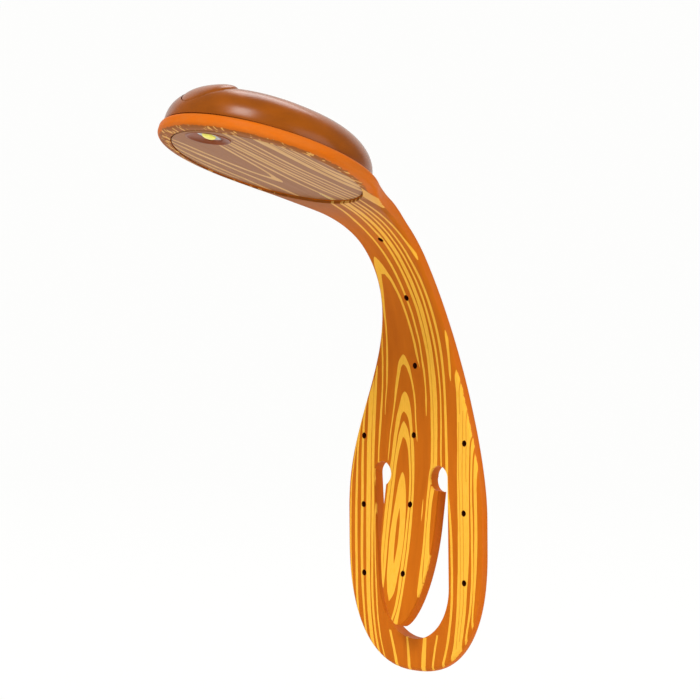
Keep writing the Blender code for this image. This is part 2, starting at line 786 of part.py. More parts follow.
def head_outline(start):
    """Half outline of the neck and the round ring, from a place on the neck to the tip."""
    touch = shoulder_end()
    points = [(s, half_width(s)) for s in spread(start, touch, 6)[1:]]
    first = math.degrees(math.acos((HEAD_PLACE - touch) / RING_RADIUS))
    for angle in spread(first, 180.0, 26)[1:]:
        width = RING_RADIUS * math.sin(math.radians(angle))
        points.append((HEAD_PLACE - RING_RADIUS * math.cos(math.radians(angle)), max(width, 0.0)))
    points[-1] = (points[-1][0], 0.0)
    return points


def build_head_ring(skin, metal, head):
    """The ring of the moulding that holds the lamp head, with its short neck."""
    last = len(FLEX_LEANS)
    low = flex_place(last - 1)
    pivot = flex_point(last - 1)
    axis = make_axis("flex_axis_%d" % last, pivot)
    lip = socket_rows(low, half_width, RING_THICKNESS)
    rows = lip + body_rows(outline_rows(head_outline(lip[-1][0])), thickness_at)
    ring = place_object("head_ring", slab_mesh("head_ring", rows, strip_point, pivot), skin, axis)
    hole = PLATE_RADIUS + GAP
    bead = hole - BEAD_DEPTH
    profile = [
        (0.0, -OVERRUN),
        (hole, -OVERRUN),
        (hole, BEAD_LOW),
        (bead, BEAD_LOW),
        (bead, BEAD_HIGH),
        (hole, BEAD_HIGH),
        (hole, RING_THICKNESS + OVERRUN),
        (0.0, RING_THICKNESS + OVERRUN),
    ]
    combine(ring, make_tool("ring_hole", turned_mesh("ring_hole", profile, BIG_SIDES), head), "DIFFERENCE")
    inner = HEAD_PLACE - bead
    cut_channel(ring, "ring", low, inner + OVERRUN, strip_point, middle, pivot, axis)
    wire_low = low + RING_THICKNESS / 2 + 2 * GAP
    wire_high = HEAD_PLACE - ferrule_end() + FERRULE_LENGTH - GAP
    add_wire("core_wire_head", wire_low, wire_high, strip_point, middle, metal, pivot, axis)


def skirt_inner():
    """Inner radius of the face plate's skirt."""
    return PLATE_RADIUS - SKIRT_WALL


def ferrule_end():
    """Distance from the head's centre to the ferrule's outer end, against the skirt."""
    return skirt_inner() - GAP


def dome_arc(offset, low_angle, high_angle, count):
    """Points of the housing's shoulder, moved out by an offset; angle 90 is its top."""
    points = []
    for angle in spread(low_angle, high_angle, count):
        radius = DOME_FLAT_RADIUS + (DOME_SHOULDER + offset) * math.cos(math.radians(angle))
        level = DOME_BASE + (DOME_RISE + offset) * math.sin(math.radians(angle))
        points.append((radius, level))
    return points


def sector(radius_low, radius_high, middle_angle, half_angle, count):
    """Outline of a piece of a ring round the battery door's axis."""
    points = []
    for angle in spread(middle_angle - half_angle, middle_angle + half_angle, count):
        turn = math.radians(angle)
        points.append((radius_high * math.cos(turn), radius_high * math.sin(turn) - DOME_SHIFT))
    for angle in spread(middle_angle + half_angle, middle_angle - half_angle, count):
        turn = math.radians(angle)
        points.append((radius_low * math.cos(turn), radius_low * math.sin(turn) - DOME_SHIFT))
    return points


def build_face_plate(plastic, head):
    """The printed round plate, its skirt, the lamp's opening and four snap arms."""
    bead_groove = PLATE_RADIUS + GAP - BEAD_DEPTH - GAP
    inner = skirt_inner()
    profile = [(0.0, PLATE_FRONT)]
    for angle in spread(-90.0, 0.0, 4):
        profile.append((
            PLATE_RADIUS - PLATE_EDGE + PLATE_EDGE * math.cos(math.radians(angle)),
            PLATE_FRONT + PLATE_EDGE + PLATE_EDGE * math.sin(math.radians(angle)),
        ))
    profile += [
        (PLATE_RADIUS, BEAD_LOW - GAP),
        (bead_groove, BEAD_LOW - GAP),
        (bead_groove, BEAD_HIGH + GAP),
        (PLATE_RADIUS, BEAD_HIGH + GAP),
        (PLATE_RADIUS, SKIRT_TOP),
        (inner, SKIRT_TOP),
        (inner, PLATE_BACK),
        (0.0, PLATE_BACK),
    ]
    plate = place_object("face_plate", turned_mesh("face_plate", profile, BIG_SIDES), plastic, head)
    arm_low = SNAP_ARM_RADIUS - SNAP_ARM_THICKNESS / 2
    arm_high = SNAP_ARM_RADIUS + SNAP_ARM_THICKNESS / 2
    outline = [
        (arm_low, PLATE_BACK - PLATE_THICKNESS / 2),
        (arm_high, PLATE_BACK - PLATE_THICKNESS / 2),
        (arm_high, SNAP_ARM_TOP - SNAP_HOOK_HEIGHT),
        (arm_high + SNAP_HOOK_REACH, SNAP_ARM_TOP - SNAP_HOOK_HEIGHT),
        (arm_high, SNAP_ARM_TOP),
        (arm_low, SNAP_ARM_TOP),
    ]
    for number, angle in enumerate(SNAP_ANGLES):
        name = "snap_arm_%d" % number
        data = prism_mesh(name, outline, -SNAP_ARM_WIDTH / 2, SNAP_ARM_WIDTH / 2, upright=True)
        data.transform(Matrix.Rotation(math.radians(angle), 4, "Z"))
        combine(plate, make_tool(name, data, head), "UNION")
    opening = oval(0.0, -LED_PLACE, BEZEL_HALF_X + GAP, BEZEL_HALF_Y + GAP, SMALL_SIDES)
    data = prism_mesh("lamp_opening", opening, PLATE_FRONT - OVERRUN, PLATE_BACK + OVERRUN)
    combine(plate, make_tool("lamp_opening", data, head), "DIFFERENCE")
    wide = 2 * (BOARD_TAB_HALF + 2 * GAP)
    depth = PLATE_RADIUS + OVERRUN - (LED_PLACE + BEZEL_WALL)
    outline = rectangle(0.0, -(PLATE_RADIUS + OVERRUN) + depth / 2, wide, depth)
    data = prism_mesh("skirt_gap", outline, PLATE_BACK - GAP / 3, SKIRT_TOP + OVERRUN)
    combine(plate, make_tool("skirt_gap", data, head), "DIFFERENCE")
    path = [Vector((0.0, inner - OVERRUN, WIRE_LEVEL)), Vector((0.0, PLATE_RADIUS + OVERRUN, WIRE_LEVEL))]
    data = tube_mesh("wire_hole", path, CHANNEL_RADIUS, TINY_SIDES, Vector(), ACROSS)
    combine(plate, make_tool("wire_hole", data, head), "DIFFERENCE")


def build_upper_housing(plastic, head):
    """The domed cover with its screw posts, snap catches and openings."""
    rim = DOOR_RADIUS + GAP
    hub = HUB_RADIUS + GAP
    wall = rim + LEDGE_WALL
    meet = math.degrees(math.acos((wall - DOME_FLAT_RADIUS) / (DOME_SHOULDER - DOME_WALL)))
    profile = dome_arc(0.0, 0.0, 90.0, 9)
    profile += [
        (rim, DOME_TOP),
        (rim, LEDGE_TOP),
        (hub, LEDGE_TOP),
        (hub, LEDGE_BASE),
        (wall, LEDGE_BASE),
    ]
    profile += dome_arc(-DOME_WALL, meet, 0.0, 7)
    data = turned_mesh("upper_housing", profile, BIG_SIDES, -DOME_SHIFT)
    housing = place_object("upper_housing", data, plastic, head)
    for number, (x, y) in enumerate(POST_PLACES):
        outline = oval(x, y, POST_RADIUS, POST_RADIUS, SMALL_SIDES)
        data = prism_mesh("post", outline, ON_BOARD, DOME_TOP - DOME_WALL + POST_SINK)
        combine(housing, make_tool("post_%d" % number, data, head), "UNION")
    for number, (x, y) in enumerate(POST_PLACES):
        hole = SCREW_RADIUS + GAP
        outline = oval(x, y, hole, hole, TINY_SIDES)
        data = prism_mesh("post_hole", outline, ON_BOARD - OVERRUN, BOARD_BACK + SCREW_REACH + GAP)
        combine(housing, make_tool("post_hole_%d" % number, data, head), "DIFFERENCE")
    catch_top = SNAP_ARM_TOP - SNAP_HOOK_HEIGHT - GAP
    catch_low = SNAP_ARM_RADIUS + SNAP_ARM_THICKNESS / 2 + GAP
    for number, angle in enumerate(SNAP_ANGLES):
        outline = turned_rectangle(catch_low, RING_RADIUS - 2 * DOME_WALL, SNAP_ARM_WIDTH, angle)
        data = prism_mesh("catch", outline, catch_top - SNAP_CATCH_HEIGHT, catch_top)
        combine(housing, make_tool("catch_%d" % number, data, head), "UNION")
    outline = oval(0.0, -BUTTON_PLACE, BUTTON_HALF_X + GAP, BUTTON_HALF_Y + GAP, SMALL_SIDES + TINY_SIDES)
    data = prism_mesh("button_opening", outline, BUTTON_LOW, DOME_TOP + OVERRUN)
    combine(housing, make_tool("button_opening", data, head), "DIFFERENCE")
    for number in range(LUG_COUNT):
        angle = LUG_START + DOOR_TURN + number * 360.0 / LUG_COUNT
        half = LUG_HALF_ANGLE + NOTCH_EXTRA_ANGLE
        outline = sector(hub - GAP, HUB_RADIUS + LUG_REACH + GAP, angle, half, 6)
        data = prism_mesh("door_notch", outline, LEDGE_BASE - GAP, LEDGE_TOP + GAP)
        combine(housing, make_tool("door_notch_%d" % number, data, head), "DIFFERENCE")


def build_battery_door(plastic, head):
    """The round door with three bayonet lugs and a slot for a coin."""
    axis = make_axis("door_axis", (0.0, -DOME_SHIFT, 0.0), head)
    profile = [
        (0.0, LUG_BASE),
        (HUB_RADIUS, LUG_BASE),
        (HUB_RADIUS, DOOR_BASE),
        (DOOR_RADIUS, DOOR_BASE),
        (DOOR_RADIUS, DOME_TOP - DOOR_EDGE),
        (DOOR_RADIUS - DOOR_EDGE, DOME_TOP),
        (0.0, DOME_TOP),
    ]
    door = place_object("battery_door", turned_mesh("battery_door", profile, BIG_SIDES), plastic, axis)
    for number in range(LUG_COUNT):
        angle = LUG_START + number * 360.0 / LUG_COUNT
        outline = sector(HUB_RADIUS - LUG_REACH, HUB_RADIUS + LUG_REACH, angle, LUG_HALF_ANGLE, 5)
        data = prism_mesh("lug", outline, LUG_BASE, LUG_TOP)
        combine(door, make_tool("lug_%d" % number, data, head), "UNION")
    outline = rectangle(0.0, -DOME_SHIFT, COIN_SLOT_LENGTH, COIN_SLOT_WIDTH)
    data = prism_mesh("coin_slot", outline, DOME_TOP - COIN_SLOT_DEPTH, DOME_TOP + OVERRUN)
    combine(door, make_tool("coin_slot", data, head), "DIFFERENCE")


def shell_tool(name, outer, inner, place, half_x, half_y, head):
    """A layer of the housing's shoulder, cut to an oval."""
    profile = dome_arc(outer, 0.0, 90.0, 9)
    profile += [(HUB_RADIUS, DOME_TOP + outer), (HUB_RADIUS, DOME_TOP + inner)]
    profile += dome_arc(inner, 90.0, 0.0, 9)
    shell = turned_mesh(name, profile, BIG_SIDES, -DOME_SHIFT)
    outline = oval(0.0, -place, half_x, half_y, SMALL_SIDES + TINY_SIDES)
    prism = prism_mesh(name + "_oval", outline, BUTTON_LOW, DOME_TOP + 2 * OVERRUN)
    return shell, make_tool(name + "_oval", prism, head)


def build_push_button(plastic, head):
    """The button that rises from the shoulder over the lamp, with its flange and stem."""
    axis = make_axis("button_axis", (0.0, 0.0, 0.0), head)
    inner = -DOME_WALL - GAP - BUTTON_FLANGE_THICKNESS
    size = (BUTTON_PLACE, BUTTON_HALF_X, BUTTON_HALF_Y)
    shell, cutter = shell_tool("button_shell", BUTTON_PROUD, inner, *size, head)
    button = place_object("push_button", shell, plastic, axis)
    combine(button, cutter, "INTERSECT")
    place = BUTTON_PLACE + BUTTON_FLANGE_SHIFT
    half_y = BUTTON_HALF_Y + BUTTON_FLANGE - 2 * GAP
    size = (place, BUTTON_HALF_X + BUTTON_FLANGE, half_y)
    shell, cutter = shell_tool("button_flange", -DOME_WALL - GAP, inner, *size, head)
    flange = make_tool("button_flange", shell, head)
    combine(flange, cutter, "INTERSECT")
    combine(button, flange, "UNION")
    outline = oval(0.0, -SWITCH_PLACE, BUTTON_STEM_RADIUS, BUTTON_STEM_RADIUS, SMALL_SIDES)
    top = DOME_TOP - DOME_WALL
    data = prism_mesh("button_stem", outline, PLUNGER_TOP + GAP, top)
    combine(button, make_tool("button_stem", data, head), "UNION")


def build_lamp(materials, head):
    """The light-emitting diode in its glossy oval bezel."""
    outline = oval(0.0, -LED_PLACE, BEZEL_HALF_X, BEZEL_HALF_Y, SMALL_SIDES + TINY_SIDES)
    front = PLATE_FRONT + BEZEL_RECESS
    data = prism_mesh("led_bezel", outline, front, BOARD_FRONT - GAP)
    bezel = place_object("led_bezel", data, materials["housing"], head)
    mouth = oval(0.0, -LED_PLACE, BEZEL_HALF_X - BEZEL_WALL, BEZEL_HALF_Y - BEZEL_WALL, SMALL_SIDES + TINY_SIDES)
    throat_x = BEZEL_HALF_X - BEZEL_WALL - 2 * BEZEL_SLOPE_DEPTH
    throat_y = BEZEL_HALF_Y - 2 * BEZEL_WALL
    throat = oval(0.0, -LED_PLACE, throat_x, throat_y, SMALL_SIDES + TINY_SIDES)
    data = prism_mesh("bezel_slope", mouth, front - GAP, front + BEZEL_SLOPE_DEPTH, top_outline=throat)
    combine(bezel, make_tool("bezel_slope", data, head), "DIFFERENCE")
    window = LED_SIZE + 2 * GAP
    data = prism_mesh("bezel_window", rectangle(0.0, -LED_PLACE, window, window), front - GAP, BOARD_FRONT)
    combine(bezel, make_tool("bezel_window", data, head), "DIFFERENCE")
    outline = rectangle(0.0, -LED_PLACE, LED_SIZE, LED_SIZE)
    data = prism_mesh("led_package", outline, LED_FRONT, LED_FRONT + LED_HEIGHT)
    package = place_object("led_package", data, materials["ceramic"], head)
    outline = oval(0.0, -LED_PLACE, LED_POCKET_RADIUS, LED_POCKET_RADIUS, SMALL_SIDES)
    data = prism_mesh("led_pocket", outline, LED_FRONT - OVERRUN, LED_FRONT + LED_POCKET_DEPTH)
    combine(package, make_tool("led_pocket", data, head), "DIFFERENCE")
    radius = LED_POCKET_RADIUS - GAP
    profile = [
        (0.0, LED_FRONT - LENS_PROUD),
        (radius / 2, LED_FRONT - LENS_PROUD),
        (radius, LED_FRONT),
        (radius, LED_FRONT + LED_POCKET_DEPTH - GAP),
        (0.0, LED_FRONT + LED_POCKET_DEPTH - GAP),
    ]
    data = turned_mesh("led_lens", profile, SMALL_SIDES, -LED_PLACE)
    place_object("led_lens", data, materials["phosphor"], head)


def board_outline():
    """The board: round, flat towards the neck, with a tab that reaches out under the lamp."""
    points = []
    tab = math.degrees(math.acos(BOARD_TAB_HALF / BOARD_RADIUS))
    flat = math.degrees(math.asin(BOARD_FLAT / BOARD_RADIUS))
    corner = math.degrees(math.acos(BOARD_TAB_HALF / BOARD_TAB_RADIUS))
    for low, high, radius, count in (
        (-tab, flat, BOARD_RADIUS, 13),
        (180.0 - flat, 180.0 + tab, BOARD_RADIUS, 13),
        (180.0 + corner, 360.0 - corner, BOARD_TAB_RADIUS, 7),
    ):
        for angle in spread(low, high, count):
            turn = math.radians(angle)
            points.append((radius * math.cos(turn), radius * math.sin(turn)))
    return points


def build_board(materials, head):
    """The circuit board, its screws, its resistors and the switch."""
    board = place_object(
        "circuit_board", prism_mesh("circuit_board", board_outline(), BOARD_FRONT, BOARD_BACK),
        materials["board"], head)
    hole = SCREW_RADIUS + GAP
    for number, (x, y) in enumerate(POST_PLACES):
        data = prism_mesh("board_hole", oval(x, y, hole, hole, TINY_SIDES), BOARD_FRONT - OVERRUN, ON_BOARD)
        combine(board, make_tool("board_hole_%d" % number, data, head), "DIFFERENCE")
        top = BOARD_FRONT - GAP
        profile = [
            (0.0, top - SCREW_HEAD_HEIGHT),
            (SCREW_HEAD_RADIUS, top - SCREW_HEAD_HEIGHT),
            (SCREW_HEAD_RADIUS, top),
            (SCREW_RADIUS, top),
            (SCREW_RADIUS, BOARD_BACK + SCREW_REACH),
            (0.0, BOARD_BACK + SCREW_REACH),
        ]
        name = "board_screw_%d" % (number + 1)
        data = turned_mesh(name, profile, TINY_SIDES, y)
        data.transform(Matrix.Translation((x, 0.0, 0.0)))
        place_object(name, data, materials["steel"], head)
    for number, (x, y) in enumerate(RESISTOR_PLACES):
        length, width, height = RESISTOR_SIZE
        name = "resistor_%d" % (number + 1)
        data = prism_mesh(name, rectangle(x, y, length, width), ON_BOARD, ON_BOARD + height)
        place_object(name, data, materials["ceramic"], head)
    outline = rectangle(0.0, -SWITCH_PLACE, SWITCH_SIZE, SWITCH_SIZE)
    data = prism_mesh("switch_body", outline, ON_BOARD, ON_BOARD + SWITCH_HEIGHT)
    body = place_object("switch_body", data, materials["steel"], head)
    bore = PLUNGER_RADIUS + GAP
    outline = oval(0.0, -SWITCH_PLACE, bore, bore, SMALL_SIDES)
    low = ON_BOARD + SWITCH_HEIGHT - SWITCH_BORE_DEPTH
    data = prism_mesh("switch_bore", outline, low, ON_BOARD + SWITCH_HEIGHT + OVERRUN)
    combine(body, make_tool("switch_bore", data, head), "DIFFERENCE")
    outline = oval(0.0, -SWITCH_PLACE, PLUNGER_RADIUS, PLUNGER_RADIUS, SMALL_SIDES)
    data = prism_mesh("switch_plunger", outline, PLUNGER_BASE, PLUNGER_TOP)
    place_object("switch_plunger", data, materials["dark"], head)


def build_battery(materials, head):
    """Two stacked coin cells in their cradle, with both contacts."""
    centre = -DOME_SHIFT
    inner = CELL_RADIUS + GAP
    outer = inner + CRADLE_WALL
    top = ON_BOARD + CRADLE_HEIGHT
    profile = [(inner, ON_BOARD), (outer, ON_BOARD), (outer, top), (inner, top)]
    data = turned_mesh("battery_cradle", profile, BIG_SIDES, centre)
    place_object("battery_cradle", data, materials["dark"], head)
    for name, base in (("coin_cell_lower", LOWER_CELL_BASE), ("coin_cell_upper", UPPER_CELL_BASE)):
        profile = [
            (0.0, base),
            (CELL_RADIUS - 2 * CELL_EDGE, base),
            (CELL_RADIUS - CELL_EDGE, base + CELL_EDGE),
            (CELL_RADIUS, base + CELL_EDGE),
            (CELL_RADIUS, base + CELL_HEIGHT - CELL_EDGE),
            (CELL_RADIUS - CELL_EDGE, base + CELL_HEIGHT),
            (0.0, base + CELL_HEIGHT),
        ]
        place_object(name, turned_mesh(name, profile, BIG_SIDES // 2, centre), materials["steel"], head)
    outline = oval(0.0, centre, NEGATIVE_RADIUS, NEGATIVE_RADIUS, SMALL_SIDES)
    data = prism_mesh("negative_contact", outline, ON_BOARD, ON_BOARD + CONTACT_THICKNESS)
    place_object("negative_contact", data, materials["brass"], head)
    leg = outer + GAP
    back = leg + CONTACT_THICKNESS
    foot = ON_BOARD + CONTACT_THICKNESS
    finger = FINGER_BASE + CONTACT_THICKNESS
    outline = [
        (leg, ON_BOARD),
        (leg + POSITIVE_FOOT, ON_BOARD),
        (leg + POSITIVE_FOOT, foot),
        (back, foot),
        (back, finger),
        (leg - POSITIVE_FINGER, finger),
        (leg - POSITIVE_FINGER, FINGER_BASE),
        (leg, FINGER_BASE),
    ]
    low = centre - POSITIVE_WIDTH / 2
    data = prism_mesh("positive_contact", outline, low, low + POSITIVE_WIDTH, upright=True)
    place_object("positive_contact", data, materials["brass"], head)


def build_ferrule(metal, head):
    """The crimped ferrule that anchors the wire behind the face plate's skirt."""
    high = ferrule_end()
    ends = [Vector((0.0, high - FERRULE_LENGTH, WIRE_LEVEL)), Vector((0.0, high, WIRE_LEVEL))]
    data = tube_mesh("wire_ferrule", ends, FERRULE_RADIUS, SMALL_SIDES, Vector(), ACROSS)
    ferrule = place_object("wire_ferrule", data, metal, head)
    reach = Vector((0.0, OVERRUN, 0.0))
    path = [ends[0] - reach, ends[1] + reach]
    data = tube_mesh("ferrule_bore", path, CHANNEL_RADIUS, TINY_SIDES, Vector(), ACROSS)
    combine(ferrule, make_tool("ferrule_bore", data, head), "DIFFERENCE")


def make_materials():
    """All materials, by use."""
    return {
        "skin": make_material("printed_silicone", (0.60, 0.22, 0.04), 0.5),
        "housing": make_material("glossy_brown_plastic", (0.27, 0.10, 0.01), 0.25),
        "plate": make_material("printed_plate", (0.34, 0.16, 0.09), 0.45),
        "wire": make_material("soft_iron_wire", (0.55, 0.55, 0.55), 0.4, 1.0),
        "steel": make_material("bright_steel", (0.75, 0.75, 0.77), 0.3, 1.0),
        "brass": make_material("contact_brass", (0.80, 0.62, 0.30), 0.3, 1.0),
        "board": make_material("green_laminate", (0.03, 0.22, 0.08), 0.5),
        "ceramic": make_material("white_ceramic", (0.80, 0.80, 0.78), 0.4),
        "phosphor": make_material("yellow_phosphor", (0.95, 0.85, 0.25), 0.3),
        "dark": make_material("black_plastic", (0.02, 0.02, 0.02), 0.5),
    }


def main():
    """Build the whole light."""
    clear_scene()
    materials = make_materials()
    skin = materials["skin"]
    wire = materials["wire"]
    turn = math.radians(HEAD_LEAN - 90.0)
    head = make_axis("head_frame", strip_point(0.0, HEAD_PLACE, 0.0), None, turn)
    build_clip_frame(skin, wire)
    build_tongue(skin, wire)
    for index in range(1, len(FLEX_LEANS)):
        build_arm_segment(index, skin, wire, None)
    build_head_ring(skin, wire, head)
    build_face_plate(materials["plate"], head)
    build_upper_housing(materials["housing"], head)
    build_battery_door(materials["housing"], head)
    build_push_button(materials["housing"], head)
    build_lamp(materials, head)
    build_board(materials, head)
    build_battery(materials, head)
    build_ferrule(materials["brass"], head)
    bpy.context.view_layer.update()


main()
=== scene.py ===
"""Dressed model of the flexible clip-on reading light.

The soft moulding is modelled flat, as the strip it is cut from, and then bent along
the same centreline as the solids.  A place on it is x across, s along the front face
from the page's edge, and d, the depth from the front face, all in millimetres.
"""

import math

import bmesh
import bpy
import numpy as np
from mathutils import Matrix, Vector


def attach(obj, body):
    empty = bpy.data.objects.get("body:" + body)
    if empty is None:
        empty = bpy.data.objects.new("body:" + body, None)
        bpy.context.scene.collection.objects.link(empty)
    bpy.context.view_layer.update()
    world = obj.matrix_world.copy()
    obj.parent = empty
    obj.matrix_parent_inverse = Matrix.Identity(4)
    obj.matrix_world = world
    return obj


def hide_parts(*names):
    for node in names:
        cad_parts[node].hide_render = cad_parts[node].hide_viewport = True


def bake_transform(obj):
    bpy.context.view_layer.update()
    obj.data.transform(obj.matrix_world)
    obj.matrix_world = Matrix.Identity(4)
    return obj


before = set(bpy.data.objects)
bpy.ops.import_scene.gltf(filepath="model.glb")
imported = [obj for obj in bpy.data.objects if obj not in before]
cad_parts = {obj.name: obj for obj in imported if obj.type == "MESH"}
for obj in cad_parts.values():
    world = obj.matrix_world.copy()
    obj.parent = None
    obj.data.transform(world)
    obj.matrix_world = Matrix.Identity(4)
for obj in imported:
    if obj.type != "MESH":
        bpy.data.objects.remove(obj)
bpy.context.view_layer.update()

MM = 0.001

# Sizes shared with the solids, in millimetres and degrees
THICK = 3.2
FRONT_Y = -0.73
FIRST_FLEX = 17.0
PITCH = 11.5
LEANS = (0.0, 6.5, 17.5, 31.0, 52.0, 69.0)
HEAD_LEAN = 70.0
HEAD_STRAIGHT = 5.5
LOOP_LEAN = 3.0
LOOP_BEND = 6.0
TONGUE_LEAN = -6.0
TONGUE_BEND = 2.6
CLIP_HALF = 24.3
CLIP_WIDEST = -12.6
NECK_HALF = 9.2
NECK_PLACE = 52.7
SHOULDER = 51.9
FAR_SHOULDER = 57.5
LOOP_ROUND = -20.0
LOOP_END = -53.0
LOOP_POWER = 2.4
NOTCH_RADIUS = 3.2
NOTCH_LEFT = -11.2
NOTCH_RIGHT = 9.3
ROOT = -2.7
WINDOW_HALF = 12.7
WINDOW_ROUND = 14.0
WINDOW_END = -44.6
TONGUE_HALF = 9.5
TONGUE_LENGTH = 38.4
TONGUE_TAPER = 27.0
TONGUE_POWER = 0.6
HEAD_PLACE = 105.3
RING_RADIUS = 28.5
RING_BACK = 3.5
NECK_THICK = 4.0
HOLE_RADIUS = 24.85
PLATE_RADIUS = 24.6
PLATE_THICK = 0.6
PLATE_FRONT = -0.15
PLATE_RECESS = 0.9
DOME_BASE = 4.1
DOME_RISE = 9.5
DOME_FLAT = 13.4
DOME_SHOULDER = 13.4
DOME_SHIFT = 0.75
DOME_TOP = DOME_BASE + DOME_RISE
DOOR_RADIUS = 12.6
LAMP_PLACE = 19.7
BUTTON_SIDE = -2.7
BUTTON_PLACE = 21.4
BUTTON_X = 7.4
BUTTON_Y = 5.2
BUTTON_PROUD = 0.95
BUTTON_GAP = 0.2
BUTTON_FLOOR = 5.8
DOME_FULLNESS = 0.3
DOME_LEAN = 0.5
LAMP_SIDE = -1.4
BEZEL_X = 7.2
BEZEL_Y = 4.2
BEZEL_LIP = -0.25
CHIP_FRONT = 0.5
BEAD_RADIUS = 1.8
BEAD_RISE = 0.65
PIN_RADIUS = 0.62
PIN_FIRST = 7.8
PIN_PITCH = 17.8
LEG_X = 18.2
LEG_FIRST = 6.7

# Steps and reaches of the meshes, in millimetres
POINT_STEP = 0.9
ROW_STEP = 0.8
SEAM_ROW = 0.1
TINY = 1e-9
LEVEL = 1e-3
MERGE = 1e-4

FLEXES = [FIRST_FLEX + PITCH * index for index in range(len(LEANS))]
SEAMS = [place + PITCH / 2 for place in FLEXES[:-1]]


def linear(red, green, blue):
    """Linear colour from 0-255 screen values."""
    out = []
    for value in (red, green, blue):
        share = value / 255
        out.append(share / 12.92 if share <= 0.04045 else ((share + 0.055) / 1.055) ** 2.4)
    return (*out, 1.0)


def spread(low, high, count):
    """Evenly spaced values from low to high."""
    return [low + (high - low) * index / (count - 1) for index in range(count)]


def clamp(value):
    """A value kept between 0 and 1."""
    return min(max(value, 0.0), 1.0)


def ease(value):
    """A smooth rise from 0 to 1."""
    share = clamp(value)
    return share * share * (3 - 2 * share)


def arc(x, y, wide, tall, low, high, count):
    """Points of an oval arc between two angles in degrees."""
    turns = [math.radians(angle) for angle in spread(low, high, count)]
    return [(x + wide * math.cos(turn), y + tall * math.sin(turn)) for turn in turns]


# ---- the bent centreline

STATIONS = [(LOOP_END, LOOP_LEAN), (-LOOP_BEND, LOOP_LEAN), (LOOP_BEND, 0.0)]
STATIONS += list(zip(FLEXES, LEANS))
STATIONS += [(place, HEAD_LEAN) for place in (FLEXES[-1] + HEAD_STRAIGHT, HEAD_PLACE + RING_RADIUS)]


class Course:
    """A bent centreline made of arcs, through places with given leans."""

    def __init__(self, stations, anchor_s, anchor_y, anchor_z):
        self.places = np.array([place for place, lean in stations])
        self.leans = np.radians([lean for place, lean in stations])
        steps = []
        for index in range(len(stations) - 1):
            steps.append(self.step(self.places[index], self.places[index + 1]))
        self.base = np.vstack([[0.0, 0.0], np.cumsum(steps, axis=0)])
        here = self.offset(anchor_s)
        self.shift = np.array([anchor_y, anchor_z]) - here

    def lean(self, s):
        """Lean at s, in radians."""
        return float(np.interp(s, self.places, self.leans))

    def step(self, low, high):
        """Move in y and z along one arc."""
        start, end = self.lean(low), self.lean(high)
        turn, length = end - start, high - low
        if abs(turn) < TINY:
            return np.array([-length * math.sin(start), length * math.cos(start)])
        return np.array([
            length * (math.cos(end) - math.cos(start)) / turn,
            length * (math.sin(end) - math.sin(start)) / turn,
        ])

    def offset(self, s):
        """Move in y and z from the first station."""
        index = int(np.clip(np.searchsorted(self.places, s) - 1, 0, len(self.places) - 2))
        return self.base[index] + self.step(self.places[index], s)

    def point(self, x, s, d):
        """World place in metres."""
        y, z = self.offset(s) + self.shift
        lean = self.lean(s)
        return Vector((x, y + d * math.cos(lean), z + d * math.sin(lean))) * MM


STRIP = Course(STATIONS, 0.0, FRONT_Y, 0.0)


def tongue_course():
    """The tongue's own centreline: it leaves the yoke and turns the other way."""
    top = ROOT + TONGUE_BEND
    low = ROOT - TONGUE_BEND
    place = STRIP.point(0.0, FIRST_FLEX, 0.0) / MM
    upper = [(s, lean) for s, lean in STATIONS if s > top]
    stations = [
        (ROOT - TONGUE_LENGTH - 1, TONGUE_LEAN),
        (low, TONGUE_LEAN),
        (top, math.degrees(STRIP.lean(top))),
    ] + upper
    return Course(stations, FIRST_FLEX, place.y, place.z)


TONGUE = tongue_course()


# ---- outlines of the flat moulding

def neck_half(s, shoulder=SHOULDER):
    """Half width between the loop and the ring."""
    share = clamp((NECK_PLACE - s) / (NECK_PLACE - CLIP_WIDEST))
    width = NECK_HALF + (CLIP_HALF - NECK_HALF) * (1 - math.cos(math.pi * share)) / 2
    if s > shoulder:
        radius = shoulder_radius(shoulder)
        width += radius - math.sqrt(radius ** 2 - (s - shoulder) ** 2)
    return width


def shoulder_radius(shoulder=SHOULDER):
    """Radius of the hollow curve from the neck into the ring."""
    reach = HEAD_PLACE - shoulder
    return (reach ** 2 + NECK_HALF ** 2 - RING_RADIUS ** 2) / (2 * (RING_RADIUS - NECK_HALF))


def touch_place(shoulder=SHOULDER):
    """Where the hollow curve meets the ring's circle."""
    reach = HEAD_PLACE - shoulder
    return HEAD_PLACE - reach * RING_RADIUS / (RING_RADIUS + shoulder_radius(shoulder))


def far_trim(s):
    """How much narrower the strip is on its left side, where the curve starts later."""
    if s <= SHOULDER or s >= touch_place():
        return 0.0
    if s < touch_place(FAR_SHOULDER):
        return neck_half(s) - neck_half(s, FAR_SHOULDER)
    return max(neck_half(s) - math.sqrt(RING_RADIUS ** 2 - (HEAD_PLACE - s) ** 2), 0.0)


THIN_FROM = 81.0
THIN_OVER = 9.0


def thickness(s):
    """The strip thickens towards the head and thins again into the ring."""
    full = THICK + (NECK_THICK - THICK) * ease((s - FLEXES[-2]) / PITCH)
    return full + (RING_BACK - full) * ease((s - THIN_FROM) / THIN_OVER)


def loop_points(high):
    """Half outline from the loop's end up to high."""
    points = []
    for angle in spread(-90.0, 0.0, 40):
        share = abs(math.sin(math.radians(angle)))
        width = (1 - share ** LOOP_POWER) ** (1 / LOOP_POWER) if share < 1 else 0.0
        points.append((LOOP_ROUND - (LOOP_ROUND - LOOP_END) * share, CLIP_HALF * width))
    for s in spread(LOOP_ROUND, high, int((high - LOOP_ROUND) / POINT_STEP) + 2)[1:]:
        points.append((s, neck_half(max(s, CLIP_WIDEST))))
    return points


